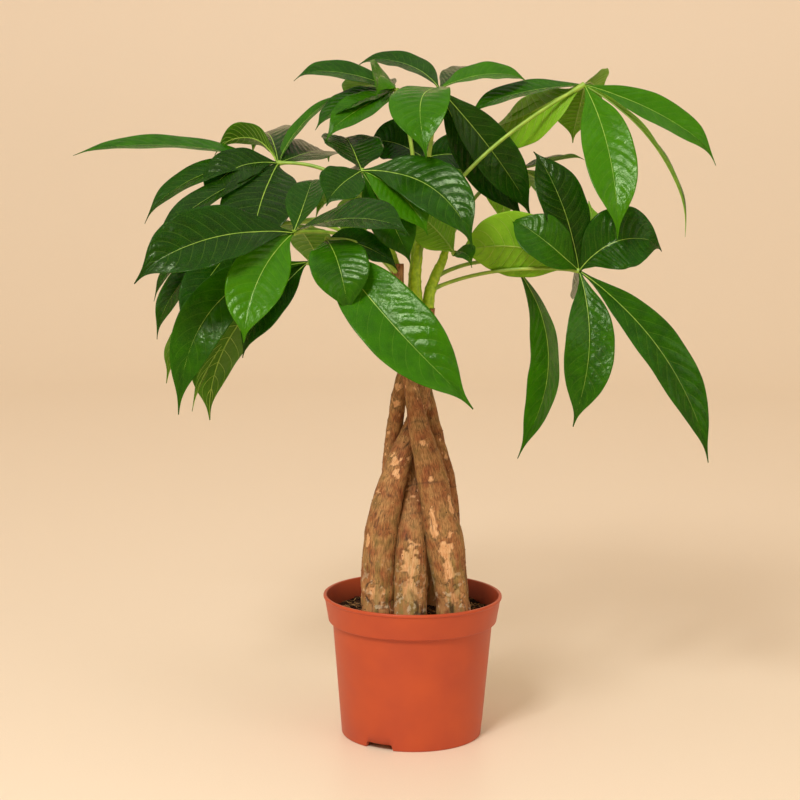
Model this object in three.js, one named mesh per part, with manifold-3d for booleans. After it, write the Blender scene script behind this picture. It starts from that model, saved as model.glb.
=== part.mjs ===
// A potted money tree (Pachira) with a braided trunk, in millimetres, +Z up.
// The origin is the middle of the pot's foot, on the ground. The front of the plant faces -Y.
import * as THREE from "three";
import { mergeVertices } from "three/addons/utils/BufferGeometryUtils.js";
import Module from "manifold-3d";

const wasm = await Module();
wasm.setup();

// ---- driving dimensions --------------------------------------------------------------------
const CLEARANCE = 0.3; // between solids that touch on the real plant
const POT_HEIGHT = 135;
const RIM_RADIUS = 85; // a 17 cm nursery pot
const COLLAR_HEIGHT = 25;
const COLLAR_FOOT_RADIUS = 80.5;
const WALL_TOP_RADIUS = 76;
const WALL_FOOT_RADIUS = 67;
const WALL = 2; // thickness of the moulded wall
const FLOOR_HEIGHT = 6; // the pot's floor is raised on its foot ring
const FOOT_RING_WIDTH = 4;
const NOTCH_WIDTH = 28;
const NOTCH_HEIGHT = 6;
const NOTCH_ANGLES = [-117, 3, 123]; // degrees round the pot from +X
const DRAIN_HOLE_RADIUS = 5;
const DRAIN_HOLE_CIRCLE = 42;
const DRAIN_HOLE_COUNT = 6;
const PAD_RADIUS = 16; // flat pad under the middle of the floor, level with the foot ring
const SOIL_HEIGHT = 117;
const SOIL_BUMP = 2.2; // how far the soil's surface rolls up and down
const PETIOLE_RADIUS = 1.7;
const HUB_RADIUS = 3.6;
const BLADE_THICKNESS = 0.7; // at the margin
const RIB_THICKNESS = 1.7; // at the midrib
const FOLD = 0.22; // how far a blade's margins stand above its midrib, of the half width
const WAVE = 1.1; // height of the waves along the margin

// The outline of one leaflet: places along the midrib and the share of its full half width there.
const OUTLINE = [
  [0, 0.06],
  [0.08, 0.16],
  [0.25, 0.68],
  [0.46, 0.98],
  [0.67, 0.93],
  [0.86, 0.46],
  [1, 0.035],
];

// ---- the braided stems: [x, y, z, radius] from the soil upwards --------------------------------
const STEMS = {
  stem_front_left: [
    [-33, -41, 84, 15], [-33, -41, 108, 15.4], [-33, -40, 139, 14.8], [-31, -34, 195, 15],
    [-22, -27, 241, 12.5], [-12, -20, 271, 10], [0, -9, 300, 8.2], [8, 2, 333, 7],
    [11, 6, 365, 6.5], [12, 4, 407, 6.2],
  ],
  stem_front_right: [
    [39, -38, 84, 14.6], [39, -38, 108, 15.2], [36.5, -37, 139, 15], [28.5, -33, 195, 17],
    [19, -31, 241, 14], [12, -30, 271, 12], [4, -27, 300, 9], [-3, -23, 333, 6.4],
    [-10, -18, 365, 6], [-15, -10, 400, 6], [-17, -6, 449, 5],
  ],
  stem_middle: [
    [-2, -45, 84, 14.4], [-2, -45, 108, 15.6], [-2.5, -42, 139, 15.4], [-2, -29, 195, 15],
    [0, -10, 241, 9], [-2, 2, 271, 7.5], [1, 10, 300, 6.8], [-5, 12, 333, 6.3],
    [-14, 11, 365, 6], [-15, 7, 400, 6], [-17, 9, 428, 5.6],
  ],
  stem_back_left: [
    [-22, 22, 84, 12.5], [-22, 22, 108, 13.5], [-23, 19, 139, 12.5], [-24, 14, 195, 10.6],
    [-22, 9, 241, 8.4], [-21, 4, 271, 7.2], [-18, -3, 300, 7], [-13, -8, 333, 6.8],
    [-4, -7, 365, 6.4], [2, -8, 404, 6],
  ],
  stem_back_right: [
    [16, 20, 84, 13], [16, 20, 108, 14], [20, 19, 139, 14], [31.5, 17, 195, 13],
    [31, 13, 241, 8.2], [24, 14, 271, 6.8], [17, 15, 300, 6.3], [9, 18, 333, 6],
    [1, 19, 365, 6], [-1, 14, 400, 5.8], [-2, 16, 420, 5.4],
  ],
};

// ---- the green shoots on top of the stems -----------------------------------------------------
const SHOOTS = {
  shoot_left: [
    [-17, 9, 426, 5.2], [-18, 6, 440, 5.2], [-23, 2, 458, 4.6], [-29, 0, 476, 4], [-33, 2, 492, 3],
  ],
  shoot_middle: [
    [2, -8, 402, 5.6], [1, -7, 416, 5.6], [0, -4, 436, 5.2], [2, -2, 458, 4.4], [4, 2, 482, 3],
  ],
  shoot_right: [
    [12, 4, 405, 5.8], [13, 4, 420, 5.6], [18, 6, 436, 5], [25, 8, 452, 4.2], [29, 10, 466, 3],
  ],
  shoot_back: [
    [-2, 16, 418, 5], [-2, 19, 432, 5], [-1, 26, 452, 4.4], [0, 34, 474, 4], [0, 38, 490, 3],
  ],
};

// ---- the leaves ---------------------------------------------------------------------------------
// from: where the petiole leaves its shoot; via: a point that draws it outwards; hub: where its
// blades meet. A blade is [tip x, y, z, rise of its arch, width, roll in degrees, sideways bow].
const LEAVES = {
  leaf_front_left: {
    from: [-22, 3, 452], via: [-60, -30, 485], hub: [-110, -70, 480],
    blades: [
      [-245, -130, 445, 32, 62, -50, -10],
      [-95, -15, 530, 15, 36, -10, 5],
      [-5, -125, 488, 25, 56, 25, 10],
      [-150, -130, 390, 25, 52, -35, 5],
    ],
  },
  leaf_front: {
    from: [-17, -7, 440], via: [-45, -60, 478], hub: [-80, -85, 475],
    blades: [
      [-58, -135, 414, 40, 52, 10, 5],
      [50, -165, 340, 10, 64, 40, 35],
      [-15, -60, 450, 15, 32, 50, -20],
    ],
  },
  leaf_centre: {
    from: [-27, 1, 470], via: [-40, -15, 515], hub: [-50, -40, 535],
    blades: [
      [-70, 38, 570, 10, 58, 0, 0],
      [50, -95, 475, 42, 54, 40, -10],
      [10, -80, 482, 20, 40, 35, 0],
      [-5, -60, 455, 5, 42, 40, 0],
      [-80, -75, 508, 8, 42, -35, 0],
      [-90, 10, 505, 10, 36, -30, 5],
    ],
  },
  leaf_low_left: {
    from: [-17, -4, 428], via: [-55, 0, 445], hub: [-100, -10, 450],
    blades: [
      [-160, -45, 370, 15, 36, -50, -5],
      [-213, -75, 317, 85, 46, -60, -10],
      [-198, 33, 300, 41, 64, 33, -35],
      [-213, 5, 312, 30, 28, 25, 5],
      [-242, 56, 331, 44, 58, 2, -35],
    ],
  },
  leaf_left: {
    from: [-31, 1, 484], via: [-95, 20, 500], hub: [-165, 30, 470],
    blades: [
      [-245, -10, 415, 35, 26, -10, -5],
      [-245, 0, 380, 30, 32, -30, -5],
      [-217, -46, 396, 12, 40, -35, -10],
      [-215, 130, 420, 30, 48, 0, 0],
    ],
  },
  leaf_high_left: {
    from: [-33, 2, 490], via: [-70, 20, 545], hub: [-130, 30, 540],
    blades: [
      [-325, 40, 550, 24, 34, -20, 10],
      [-255, 0, 490, 34, 34, -30, 0],
      [-240, -45, 472, 15, 34, -20, -5],
      [-195, 60, 555, 35, 40, 35, 20],
      [-165, 150, 555, 45, 52, -5, 5],
      [-195, -5, 505, 30, 44, -40, 5],
      [-70, 70, 610, 0, 20, 0, -34],
      [-85, 130, 550, 15, 46, 20, 15],
      [-150, -60, 460, 20, 72, -10, 0],
    ],
  },
  leaf_top: {
    from: [3, 1, 478], via: [12, 5, 560], hub: [20, 10, 610],
    blades: [
      [8, -78, 551, 42, 56, 10, 24],
      [105, 35, 622, 18, 36, 25, -5],
      [65, 110, 635, 10, 32, 5, 0],
      [110, 30, 495, 10, 42, 90, 0],
      [105, 60, 490, 5, 46, 95, -35],
      [-60, 70, 640, 18, 31, -20, 30],
    ],
  },
  leaf_top_left: {
    from: [0, 34, 474], via: [2, 35, 560], hub: [-20, 50, 610],
    blades: [
      [-115, 20, 625, 15, 32, -35, -5],
      [-35, 0, 605, 30, 34, -50, 10],
      [-95, 0, 575, 15, 38, -20, 0],
      [-85, -15, 568, 10, 36, -30, -10],
      [-70, 140, 600, 25, 44, 0, 0],
    ],
  },
  leaf_high_right: {
    from: [1, -4, 438], via: [5, -10, 530], hub: [155, 20, 615],
    blades: [
      [181, -60, 482, 25, 47, 35, 0],
      [280, 0, 551, 18, 37, 45, 0],
      [253, -25, 483, 42, 32, -10, 15],
      [45, 20, 590, 14, 36, -25, 15],
      [75, 80, 575, 0, 34, 0, 15],
      [75, 90, 575, -20, 60, 114, -35],
      [150, 80, 570, 0, 44, -5, 0],
      [180, 120, 610, 15, 40, -30, -5],
    ],
  },
  leaf_right: {
    from: [14, 5, 424], via: [70, -10, 452], hub: [150, -20, 445],
    blades: [
      [85, -20, 495, 5, 46, -65, -30],
      [108, 0, 556, 20, 46, -35, -6],
      [230, -20, 470, 35, 62, 65, 20],
      [165, 70, 505, -10, 44, -150, 15],
      [270, -60, 276, 42, 44, 50, 5],
      [143, -60, 309, 30, 46, 15, -15],
      [150, 90, 420, 5, 40, -90, 10],
      [36, -16, 461, 28, 64, 75, 0],
    ],
  },
  leaf_low_right: {
    from: [18, 6, 436], via: [60, 25, 458], hub: [95, 30, 445],
    blades: [
      [95, 0, 270, 52, 46, 105, -30],
      [150, 130, 455, 25, 44, 0, 0],
      [60, 130, 450, 25, 44, 0, 0],
    ],
  },
  leaf_middle_right: {
    from: [27, 9, 460], via: [30, -5, 466], hub: [35, -20, 460],
    blades: [
      [-5, -25, 500, 5, 40, 100, 0],
      [50, -45, 455, 10, 22, 30, 0],
    ],
  },
  leaf_behind_top: {
    from: [-1, 30, 463], via: [18, 55, 515], hub: [8, 75, 545],
    blades: [
      [-48, 90, 562, 14, 52, -45, 0],
      [70, 90, 530, 25, 50, 45, 0],
      [30, 185, 550, 30, 46, 0, 0],
      [-35, 170, 555, 30, 46, 0, 0],
    ],
  },
  leaf_back: {
    from: [-1, 25, 450], via: [-15, 90, 520], hub: [-30, 140, 515],
    blades: [
      [-105, 195, 490, 25, 48, 0, 0],
      [-70, 250, 450, 30, 52, 0, 0],
      [10, 260, 450, 30, 52, 0, 0],
      [60, 200, 465, 25, 46, 0, 0],
    ],
  },
  leaf_back_right: {
    from: [29, 10, 464], via: [55, 60, 525], hub: [100, 110, 535],
    blades: [
      [165, 110, 550, 5, 40, 0, 0],
      [90, 225, 480, 30, 50, 0, 0],
      [160, 200, 475, 30, 50, 0, 0],
      [35, 165, 520, 20, 42, 0, 0],
    ],
  },
  leaf_back_left: {
    from: [-18, 8, 438], via: [-70, 70, 490], hub: [-120, 115, 480],
    blades: [
      [-205, 185, 445, 30, 52, 0, 0],
      [-155, 230, 440, 30, 50, 0, 0],
      [-95, 205, 425, 20, 46, 0, 0],
      [-225, 95, 455, 20, 46, 0, 0],
    ],
  },
};

// ---- mesh helpers -------------------------------------------------------------------------------
// A closed geometry as a solid. Its faces are turned round if they point inwards.
function solid(geometry) {
  const bare = geometry.clone();
  bare.deleteAttribute("normal");
  bare.deleteAttribute("uv");
  const merged = mergeVertices(bare, 1e-4);
  const triVerts = Uint32Array.from(merged.index.array);
  const vertProperties = Float32Array.from(merged.attributes.position.array);
  let volume = 0;
  const corner = (i) => new THREE.Vector3().fromArray(vertProperties, 3 * triVerts[i]);
  for (let i = 0; i < triVerts.length; i += 3) {
    volume += corner(i).dot(corner(i + 1).cross(corner(i + 2)));
  }
  if (volume < 0) {
    for (let i = 0; i < triVerts.length; i += 3) {
      [triVerts[i], triVerts[i + 1]] = [triVerts[i + 1], triVerts[i]];
    }
  }
  return new wasm.Manifold(new wasm.Mesh({ numProp: 3, vertProperties, triVerts }));
}

// The largest body of a solid, so that a loose scrap left by a cut is dropped.
function largestBody(whole) {
  const bodies = whole.decompose();
  return bodies.sort((a, b) => b.volume() - a.volume())[0];
}

function geometryOf(body) {
  const mesh = body.getMesh();
  const geometry = new THREE.BufferGeometry();
  geometry.setAttribute("position", new THREE.BufferAttribute(mesh.vertProperties.slice(), 3));
  geometry.setIndex(new THREE.BufferAttribute(mesh.triVerts.slice(), 1));
  geometry.computeVertexNormals();
  return geometry;
}

// A closed round bar along [x, y, z, radius] points: a cylinder whose rings are moved onto the curve.
function bar(points, sides, steps, extraRadius = 0) {
  const curve = new THREE.CatmullRomCurve3(points.map(([x, y, z]) => new THREE.Vector3(x, y, z)));
  const frames = curve.computeFrenetFrames(steps, false);
  const geometry = new THREE.CylinderGeometry(1, 1, 1, sides, steps);
  const position = geometry.attributes.position;
  for (let i = 0; i < position.count; i += 1) {
    const along = Math.min(1, Math.max(0, position.getY(i) + 0.5));
    const ring = Math.round(along * steps);
    const place = curve.getUtoTmapping(ring / steps) * (points.length - 1);
    const before = Math.min(points.length - 2, Math.floor(place));
    const share = place - before;
    const radius = points[before][3] * (1 - share) + points[before + 1][3] * share + extraRadius;
    const at = curve.getPointAt(ring / steps);
    at.addScaledVector(frames.normals[ring], position.getX(i) * radius);
    at.addScaledVector(frames.binormals[ring], -position.getZ(i) * radius);
    position.setXYZ(i, at.x, at.y, at.z);
  }
  return solid(geometry);
}

// ---- the pot --------------------------------------------------------------------------------
function wallRadius(z) {
  const share = z / (POT_HEIGHT - COLLAR_HEIGHT);
  return WALL_FOOT_RADIUS + (WALL_TOP_RADIUS - WALL_FOOT_RADIUS) * share;
}

function lathe(profile, segments) {
  const outline = profile.map(([radius, z]) => new THREE.Vector2(radius, z));
  const geometry = new THREE.LatheGeometry([...outline, outline[0].clone()], segments);
  geometry.rotateX(Math.PI / 2);
  return geometry;
}

function makePot() {
  const step = POT_HEIGHT - COLLAR_HEIGHT;
  const floorTop = FLOOR_HEIGHT + WALL;
  const inner = (z) => wallRadius(z) - WALL;
  const body = solid(lathe([
    [0, 0],
    [PAD_RADIUS, 0],
    [PAD_RADIUS + 1, FLOOR_HEIGHT],
    [WALL_FOOT_RADIUS - FOOT_RING_WIDTH, FLOOR_HEIGHT],
    [WALL_FOOT_RADIUS - FOOT_RING_WIDTH, 0],
    [WALL_FOOT_RADIUS - 1.2, 0],
    [WALL_FOOT_RADIUS, 1.5],
    [wallRadius(step - 2), step - 2],
    [COLLAR_FOOT_RADIUS - 0.8, step],
    [COLLAR_FOOT_RADIUS, step + 1],
    [RIM_RADIUS - 1.4, POT_HEIGHT - 3.2],
    [RIM_RADIUS, POT_HEIGHT - 2.4],
    [RIM_RADIUS, POT_HEIGHT - 0.8],
    [RIM_RADIUS - 0.8, POT_HEIGHT],
    [RIM_RADIUS - 2.4, POT_HEIGHT],
    [RIM_RADIUS - 3.2, POT_HEIGHT - 1],
    [COLLAR_FOOT_RADIUS - WALL, step + 2],
    [inner(step), step],
    [inner(floorTop), floorTop],
    [0, floorTop],
  ], 36));
  let pot = body;
  for (const degrees of NOTCH_ANGLES) {
    const notch = new THREE.BoxGeometry(20, NOTCH_WIDTH, 2 * NOTCH_HEIGHT - 1);
    notch.translate(WALL_FOOT_RADIUS, 0, 0);
    notch.rotateZ(THREE.MathUtils.degToRad(degrees));
    pot = pot.subtract(solid(notch));
  }
  for (let i = 0; i < DRAIN_HOLE_COUNT; i += 1) {
    const hole = new THREE.CylinderGeometry(DRAIN_HOLE_RADIUS, DRAIN_HOLE_RADIUS, 20, 12);
    hole.rotateX(Math.PI / 2);
    hole.translate(DRAIN_HOLE_CIRCLE, 0, floorTop);
    hole.rotateZ(((i + 0.5) / DRAIN_HOLE_COUNT) * 2 * Math.PI);
    pot = pot.subtract(solid(hole));
  }
  return pot;
}

// ---- the soil: it fills the pot and has a rolling, crumbly top -----------------------------------
function soilHeight(x, y) {
  const rolls = Math.sin(x / 11 + 1) * Math.cos(y / 13) + 0.6 * Math.sin((x - y) / 6);
  return SOIL_HEIGHT + SOIL_BUMP * 0.6 * rolls;
}

function makeSoil() {
  const floorTop = FLOOR_HEIGHT + WALL + CLEARANCE;
  const step = POT_HEIGHT - COLLAR_HEIGHT;
  const edgeRadius = COLLAR_FOOT_RADIUS - WALL - 2 * CLEARANCE;
  const profile = [
    [0, floorTop],
    [wallRadius(floorTop) - WALL - CLEARANCE, floorTop],
    [wallRadius(step) - WALL - 2 * CLEARANCE, step],
    [edgeRadius, step + 3],
  ];
  const rings = 4;
  for (let i = rings; i >= 0; i -= 1) {
    profile.push([(edgeRadius * i) / rings, SOIL_HEIGHT]);
  }
  const geometry = lathe(profile, 28);
  const position = geometry.attributes.position;
  for (let i = 0; i < position.count; i += 1) {
    if (position.getZ(i) > step + 4) {
      position.setZ(i, soilHeight(position.getX(i), position.getY(i)));
    }
  }
  return solid(geometry);
}

// ---- one leaflet ------------------------------------------------------------------------------
// Its midrib is a quadratic curve from the hub to the tip. At each place of the outline a ring of
// six corners is set round it: margin, rib and margin above, and the same three below.
function makeBlade(hub, [x, y, z, rise, width, roll, bow]) {
  const start = new THREE.Vector3(...hub);
  const tip = new THREE.Vector3(x, y, z);
  const chord = tip.clone().sub(start);
  const forward = chord.clone().normalize();
  const outwards = new THREE.Vector3(start.x, start.y, 0).normalize();
  const level = new THREE.Vector3(chord.x, chord.y, 0);
  const run = level.length();
  level.addScaledVector(outwards, 0.15 * chord.length()).normalize();
  const up = new THREE.Vector3(0, 0, run / chord.length());
  up.addScaledVector(level, -forward.z);
  up.addScaledVector(forward, -up.dot(forward)).normalize();
  const across = forward.clone().cross(up);
  const middle = start.clone().add(tip).multiplyScalar(0.5);
  middle.addScaledVector(up, rise).addScaledVector(across, bow);
  const midrib = new THREE.QuadraticBezierCurve3(start, middle, tip);
  const turn = THREE.MathUtils.degToRad(roll);
  const facing = up.clone().multiplyScalar(Math.cos(turn)).addScaledVector(across, Math.sin(turn));

  const corners = [];
  OUTLINE.forEach(([along, share], i) => {
    const centre = midrib.getPoint(along);
    const tangent = midrib.getTangent(along);
    const normal = facing.clone().addScaledVector(tangent, -facing.dot(tangent)).normalize();
    const side = tangent.clone().cross(normal);
    const half = Math.max(0.7, (share * width) / 2);
    const wave = (i % 2 === 0 ? WAVE : -WAVE) * share;
    const point = (sideways, above) =>
      centre.clone().addScaledVector(side, sideways).addScaledVector(normal, above);
    const margin = FOLD * half + wave;
    const ribTop = 0.3;
    const thin = BLADE_THICKNESS / 2;
    corners.push(
      point(half, margin + thin),
      point(0, ribTop),
      point(-half, FOLD * half - wave + thin),
      point(-half, FOLD * half - wave - thin),
      point(0, ribTop - RIB_THICKNESS * (1 - 0.4 * along)),
      point(half, margin - thin),
    );
  });

  const ring = 6;
  const index = [];
  const quad = (a, b, c, d) => index.push(a, b, d, b, c, d);
  const last = corners.length - ring;
  for (let a = 0; a < last; a += ring) {
    const b = a + ring;
    quad(a + 1, a, b, b + 1); // left half, above
    index.push(a + 5, a + 4, b + 4, a + 5, b + 4, b + 5); // left half, below
    index.push(a + 1, b + 1, a + 2, a + 2, b + 1, b + 2); // right half, above
    index.push(a + 4, a + 3, b + 4, a + 3, b + 3, b + 4); // right half, below
    index.push(a, a + 5, b + 5, a, b + 5, b); // left margin
    index.push(a + 2, b + 2, b + 3, a + 2, b + 3, a + 3); // right margin
  }
  index.push(0, 1, 4, 0, 4, 5, 1, 2, 3, 1, 3, 4); // the end at the hub
  const e = last;
  index.push(e, e + 4, e + 1, e, e + 5, e + 4, e + 1, e + 3, e + 2, e + 1, e + 4, e + 3);

  const geometry = new THREE.BufferGeometry().setFromPoints(corners);
  geometry.setIndex(index);
  return solid(geometry);
}

// A leaf is its petiole, the swelling at its hub and its blades, grown together.
function makeLeaf({ from, via, hub, blades }) {
  const path = new THREE.QuadraticBezierCurve3(
    new THREE.Vector3(...from),
    new THREE.Vector3(...via),
    new THREE.Vector3(...hub),
  );
  const points = path.getPoints(4).map(({ x, y, z }, i) => [x, y, z, PETIOLE_RADIUS * (1.3 - 0.08 * i)]);
  const swelling = new THREE.SphereGeometry(HUB_RADIUS, 6, 4);
  swelling.translate(...hub);
  const parts = [bar(points, 5, 5), solid(swelling), ...blades.map((blade) => makeBlade(hub, blade))];
  return wasm.Manifold.union(parts);
}

// ---- assembly ---------------------------------------------------------------------------------
const plant = new THREE.Group();

function add(name, body, colour, roughness) {
  const material = new THREE.MeshStandardMaterial({ color: colour, roughness, metalness: 0 });
  const mesh = new THREE.Mesh(geometryOf(body), material);
  mesh.name = name;
  plant.add(mesh);
}

add("pot", makePot(), "#c4542f", 0.45);

// The stems and shoots press against each other: each is cut clear of those before it.
let grown = null;
let soil = makeSoil();
function grow(name, points, sides, steps, colour, roughness) {
  let body = bar(points, sides, steps);
  if (grown) {
    body = largestBody(body.subtract(grown));
  }
  const wider = bar(points, sides, steps, CLEARANCE);
  grown = grown ? grown.add(wider) : wider;
  add(name, body, colour, roughness);
}
for (const [name, points] of Object.entries(STEMS)) {
  grow(name, points, 12, 13, "#8d6a45", 0.85);
}
for (const [name, points] of Object.entries(SHOOTS)) {
  grow(name, points, 8, 5, "#7f9a2c", 0.5);
}
soil = soil.subtract(grown);
add("soil", soil, "#1d0f07", 0.95);

for (const [name, leaf] of Object.entries(LEAVES)) {
  add(name, largestBody(makeLeaf(leaf).subtract(grown)), "#2f5c14", 0.38);
}

export default plant;
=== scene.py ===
# %% [markdown]
# # A potted money tree
# This notebook dresses a measured model of a braided money tree in a nursery pot.
# The measured model gives every piece its place and size. Here each piece gets its fine surface:
# quilted leaflets, fissured bark, crumbly soil and a moulded plastic pot.
# Pieces and patterns are sized in millimetres, and MM turns them into metres where a mesh or a
# pattern is made. The camera and the lights are placed in metres.

# %% Load the measured model
import bpy
import math
import numpy as np
from mathutils import Matrix, Vector


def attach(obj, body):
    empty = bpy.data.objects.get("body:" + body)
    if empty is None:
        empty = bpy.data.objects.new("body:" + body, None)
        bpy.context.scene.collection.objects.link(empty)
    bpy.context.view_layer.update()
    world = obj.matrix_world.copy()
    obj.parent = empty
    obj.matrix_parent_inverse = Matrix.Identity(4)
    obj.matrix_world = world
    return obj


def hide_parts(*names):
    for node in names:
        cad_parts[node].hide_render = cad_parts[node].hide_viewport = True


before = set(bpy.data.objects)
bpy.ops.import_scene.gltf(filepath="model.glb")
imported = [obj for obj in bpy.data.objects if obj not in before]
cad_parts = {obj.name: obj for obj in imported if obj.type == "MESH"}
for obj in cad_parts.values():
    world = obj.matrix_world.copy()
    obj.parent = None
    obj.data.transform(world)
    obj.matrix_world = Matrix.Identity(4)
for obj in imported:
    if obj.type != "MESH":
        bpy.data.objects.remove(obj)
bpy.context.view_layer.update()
MM = 0.001
print("measured nodes:", len(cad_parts))

# %% [markdown]
# ## The camera first
# A portrait lens looks slightly down at the plant from about 1.75 m away, a little left of its middle.
# The place, tilt and roll come from the pot's rim and foot, whose real sizes are known.

# %% The camera
CAMERA_PLACE = (-0.01365, -1.7577, 0.5643)
CAMERA_PITCH = 7.891  # degrees below the horizon
CAMERA_ROLL = 0.5
lens = bpy.data.cameras.new("portrait_lens")
lens.lens = 85
lens.sensor_width = 36
camera = bpy.data.objects.new("camera", lens)
camera.location = CAMERA_PLACE
tilt = Matrix.Rotation(math.radians(90 - CAMERA_PITCH), 3, "X")
camera.rotation_euler = (tilt @ Matrix.Rotation(math.radians(CAMERA_ROLL), 3, "Z")).to_euler()
bpy.context.collection.objects.link(camera)
bpy.context.scene.camera = camera
print("camera at", CAMERA_PLACE)

# %% [markdown]
# ## Colours and nodes
# Colours are chosen as the hex values that a picture editor shows. Blender's shaders want linear
# light, so one function turns them round. Another function adds a node of any kind together with its
# settings and links, so that each material below reads like a recipe that ends in its surface.


# %% Colour and node helpers
def linear(hex_colour):
    channels = [int(hex_colour[i:i + 2], 16) / 255 for i in (1, 3, 5)]
    bent = [c / 12.92 if c <= 0.04045 else ((c + 0.055) / 1.055) ** 2.4 for c in channels]
    return (*bent, 1.0)


def socket_in_use(sockets, name=None):
    return next(each for each in sockets if each.enabled and name in (None, each.name))


def node(tree, kind, stops=(), **values):
    """Adds a node. A name in small letters is a setting, i0, i1 and i2 are sockets by number, and any
    other name is a socket. A socket takes a value, a node, or a node with the name of its output.
    The stops of a colour ramp are pairs of a place and a hex colour or a grey value."""
    new = tree.nodes.new(kind)
    for name, value in values.items():
        numbered = name[0] == "i" and name[1:].isdigit()
        if name[0].islower() and not numbered:
            setattr(new, name, value)
            continue
        socket = new.inputs[int(name[1:])] if numbered else socket_in_use(new.inputs, name.replace("_", " "))
        source, output = value if isinstance(value, tuple) and len(value) == 2 else (value, None)
        if isinstance(source, bpy.types.Node):
            tree.links.new(socket_in_use(source.outputs, output), socket)
        else:
            socket.default_value = value
    if stops:
        elements = new.color_ramp.elements
        elements.remove(elements[1])
        elements[0].position = stops[0][0]
        for place, _ in stops[1:]:
            elements.new(place)
        for element, (_, tone) in zip(elements, stops):
            element.color = linear(tone) if isinstance(tone, str) else (tone, tone, tone, 1)
    return new


def empty_material(name):
    made = bpy.data.materials.new(name)
    made.use_nodes = True
    made.node_tree.nodes.clear()
    return made, made.node_tree


print("helpers ready")

# %% [markdown]
# ## Moulded plastic for the pot
# The pot is injection-moulded polypropylene, coloured right through in terracotta red. Such plastic
# has a satin gloss that breaks up into a very fine grain, and faint cloudy patches where the melt
# cooled at different speeds. Both come from noise: clouds of about 40 mm, and a grain drawn at 0.9 mm,
# coarser than the real one, so that it shows. The inside of the collar is darkened with painted shade,
# a dark brown that is strongest just above the soil and gone at the lip. The collar leans out, so
# the distance to the pot's axis, less that lean, tells its inside from its outside.

# %% Pot material
# Painted shade on the inside of the collar: darkest at the first height, gone at the second
SHADE_DARKEST = 116  # height
SHADE_GONE = 133
SHADE_SHARE = 0.62
COLLAR_LEAN = 0.16  # outwards, for each millimetre of height
COLLAR_MIDDLE = 61.5  # distance to the axis, less the lean, midway through the collar's wall
COLLAR_EDGE = 0.3  # softens the change from inside to outside
COLLAR_LOW = 112  # the painted shade keeps above this height, because the wall is narrower under the collar

pot_plastic, tree = empty_material("injection_moulded_polypropylene")
place = (node(tree, "ShaderNodeTexCoord"), "Object")
clouds = node(tree, "ShaderNodeTexNoise", Vector=place, Scale=1 / (40 * MM), Detail=3.0)
grain = node(tree, "ShaderNodeTexNoise", Vector=place, Scale=1 / (0.9 * MM), Detail=2.0)
terracotta = node(tree, "ShaderNodeValToRGB", [(0.3, "#b24421"), (0.7, "#bf4d22")], Fac=clouds)
level = node(tree, "ShaderNodeVectorMath", operation="MULTIPLY", i0=place, i1=(1, 1, 0))
from_axis = node(tree, "ShaderNodeVectorMath", operation="LENGTH", i0=level)
split = node(tree, "ShaderNodeSeparateXYZ", Vector=place)
less_lean = node(tree, "ShaderNodeMath", operation="MULTIPLY_ADD", i0=(split, "Z"), i1=-COLLAR_LEAN,
                 i2=from_axis)
inside = node(tree, "ShaderNodeMapRange", Value=less_lean, From_Min=(COLLAR_MIDDLE + COLLAR_EDGE) * MM,
              From_Max=(COLLAR_MIDDLE - COLLAR_EDGE) * MM)
# Painted shade: the inside of the collar turns dark brown, most just above the soil and not at all at the lip
collar_shade = node(tree, "ShaderNodeMapRange", Value=(split, "Z"), From_Min=SHADE_GONE * MM,
            From_Max=SHADE_DARKEST * MM, To_Max=SHADE_SHARE)
in_collar = node(tree, "ShaderNodeMath", operation="GREATER_THAN", i0=(split, "Z"), i1=COLLAR_LOW * MM)
collar_shade = node(tree, "ShaderNodeMath", operation="MULTIPLY", i0=collar_shade, i1=inside)
collar_shade = node(tree, "ShaderNodeMath", operation="MULTIPLY", i0=collar_shade, i1=in_collar)
shaded_terracotta = node(tree, "ShaderNodeMix", data_type="RGBA", Factor=collar_shade, A=terracotta, B=linear("#4a1f10"))
satin = node(tree, "ShaderNodeValToRGB", [(0.3, 0.4), (0.7, 0.5)], Fac=clouds)
grained = node(tree, "ShaderNodeBump", Height=grain, Strength=0.12, Distance=0.1 * MM)
surface = node(tree, "ShaderNodeBsdfPrincipled", Base_Color=shaded_terracotta, Roughness=satin, IOR=1.49,
               Normal=grained)
node(tree, "ShaderNodeOutputMaterial", Surface=surface)
print("material:", pot_plastic.name)

# %% [markdown]
# ## The pot's outline
# A nursery pot is a shape turned round one axis: a tapered wall with a deep collar, a rounded rim,
# and a raised floor on a foot ring. A lathe is the natural way to make it. The profile is listed
# once, from the middle of the floor up the outside and down the inside, and its corners are rounded
# with small arcs.

# %% Pot sizes
POT_HEIGHT = 135
RIM_RADIUS = 85
COLLAR_HEIGHT = 25
COLLAR_FOOT_RADIUS = 80.5
WALL_TOP_RADIUS = 76
WALL_FOOT_RADIUS = 67
WALL = 2
FLOOR_HEIGHT = 6
FOOT_RING = 4
PAD_RADIUS = 16
step_height = POT_HEIGHT - COLLAR_HEIGHT
floor_top = FLOOR_HEIGHT + WALL


def wall_radius(z):
    return WALL_FOOT_RADIUS + (WALL_TOP_RADIUS - WALL_FOOT_RADIUS) * z / step_height


print("the collar starts at", step_height, "mm, where the wall's radius is", wall_radius(step_height))

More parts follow.
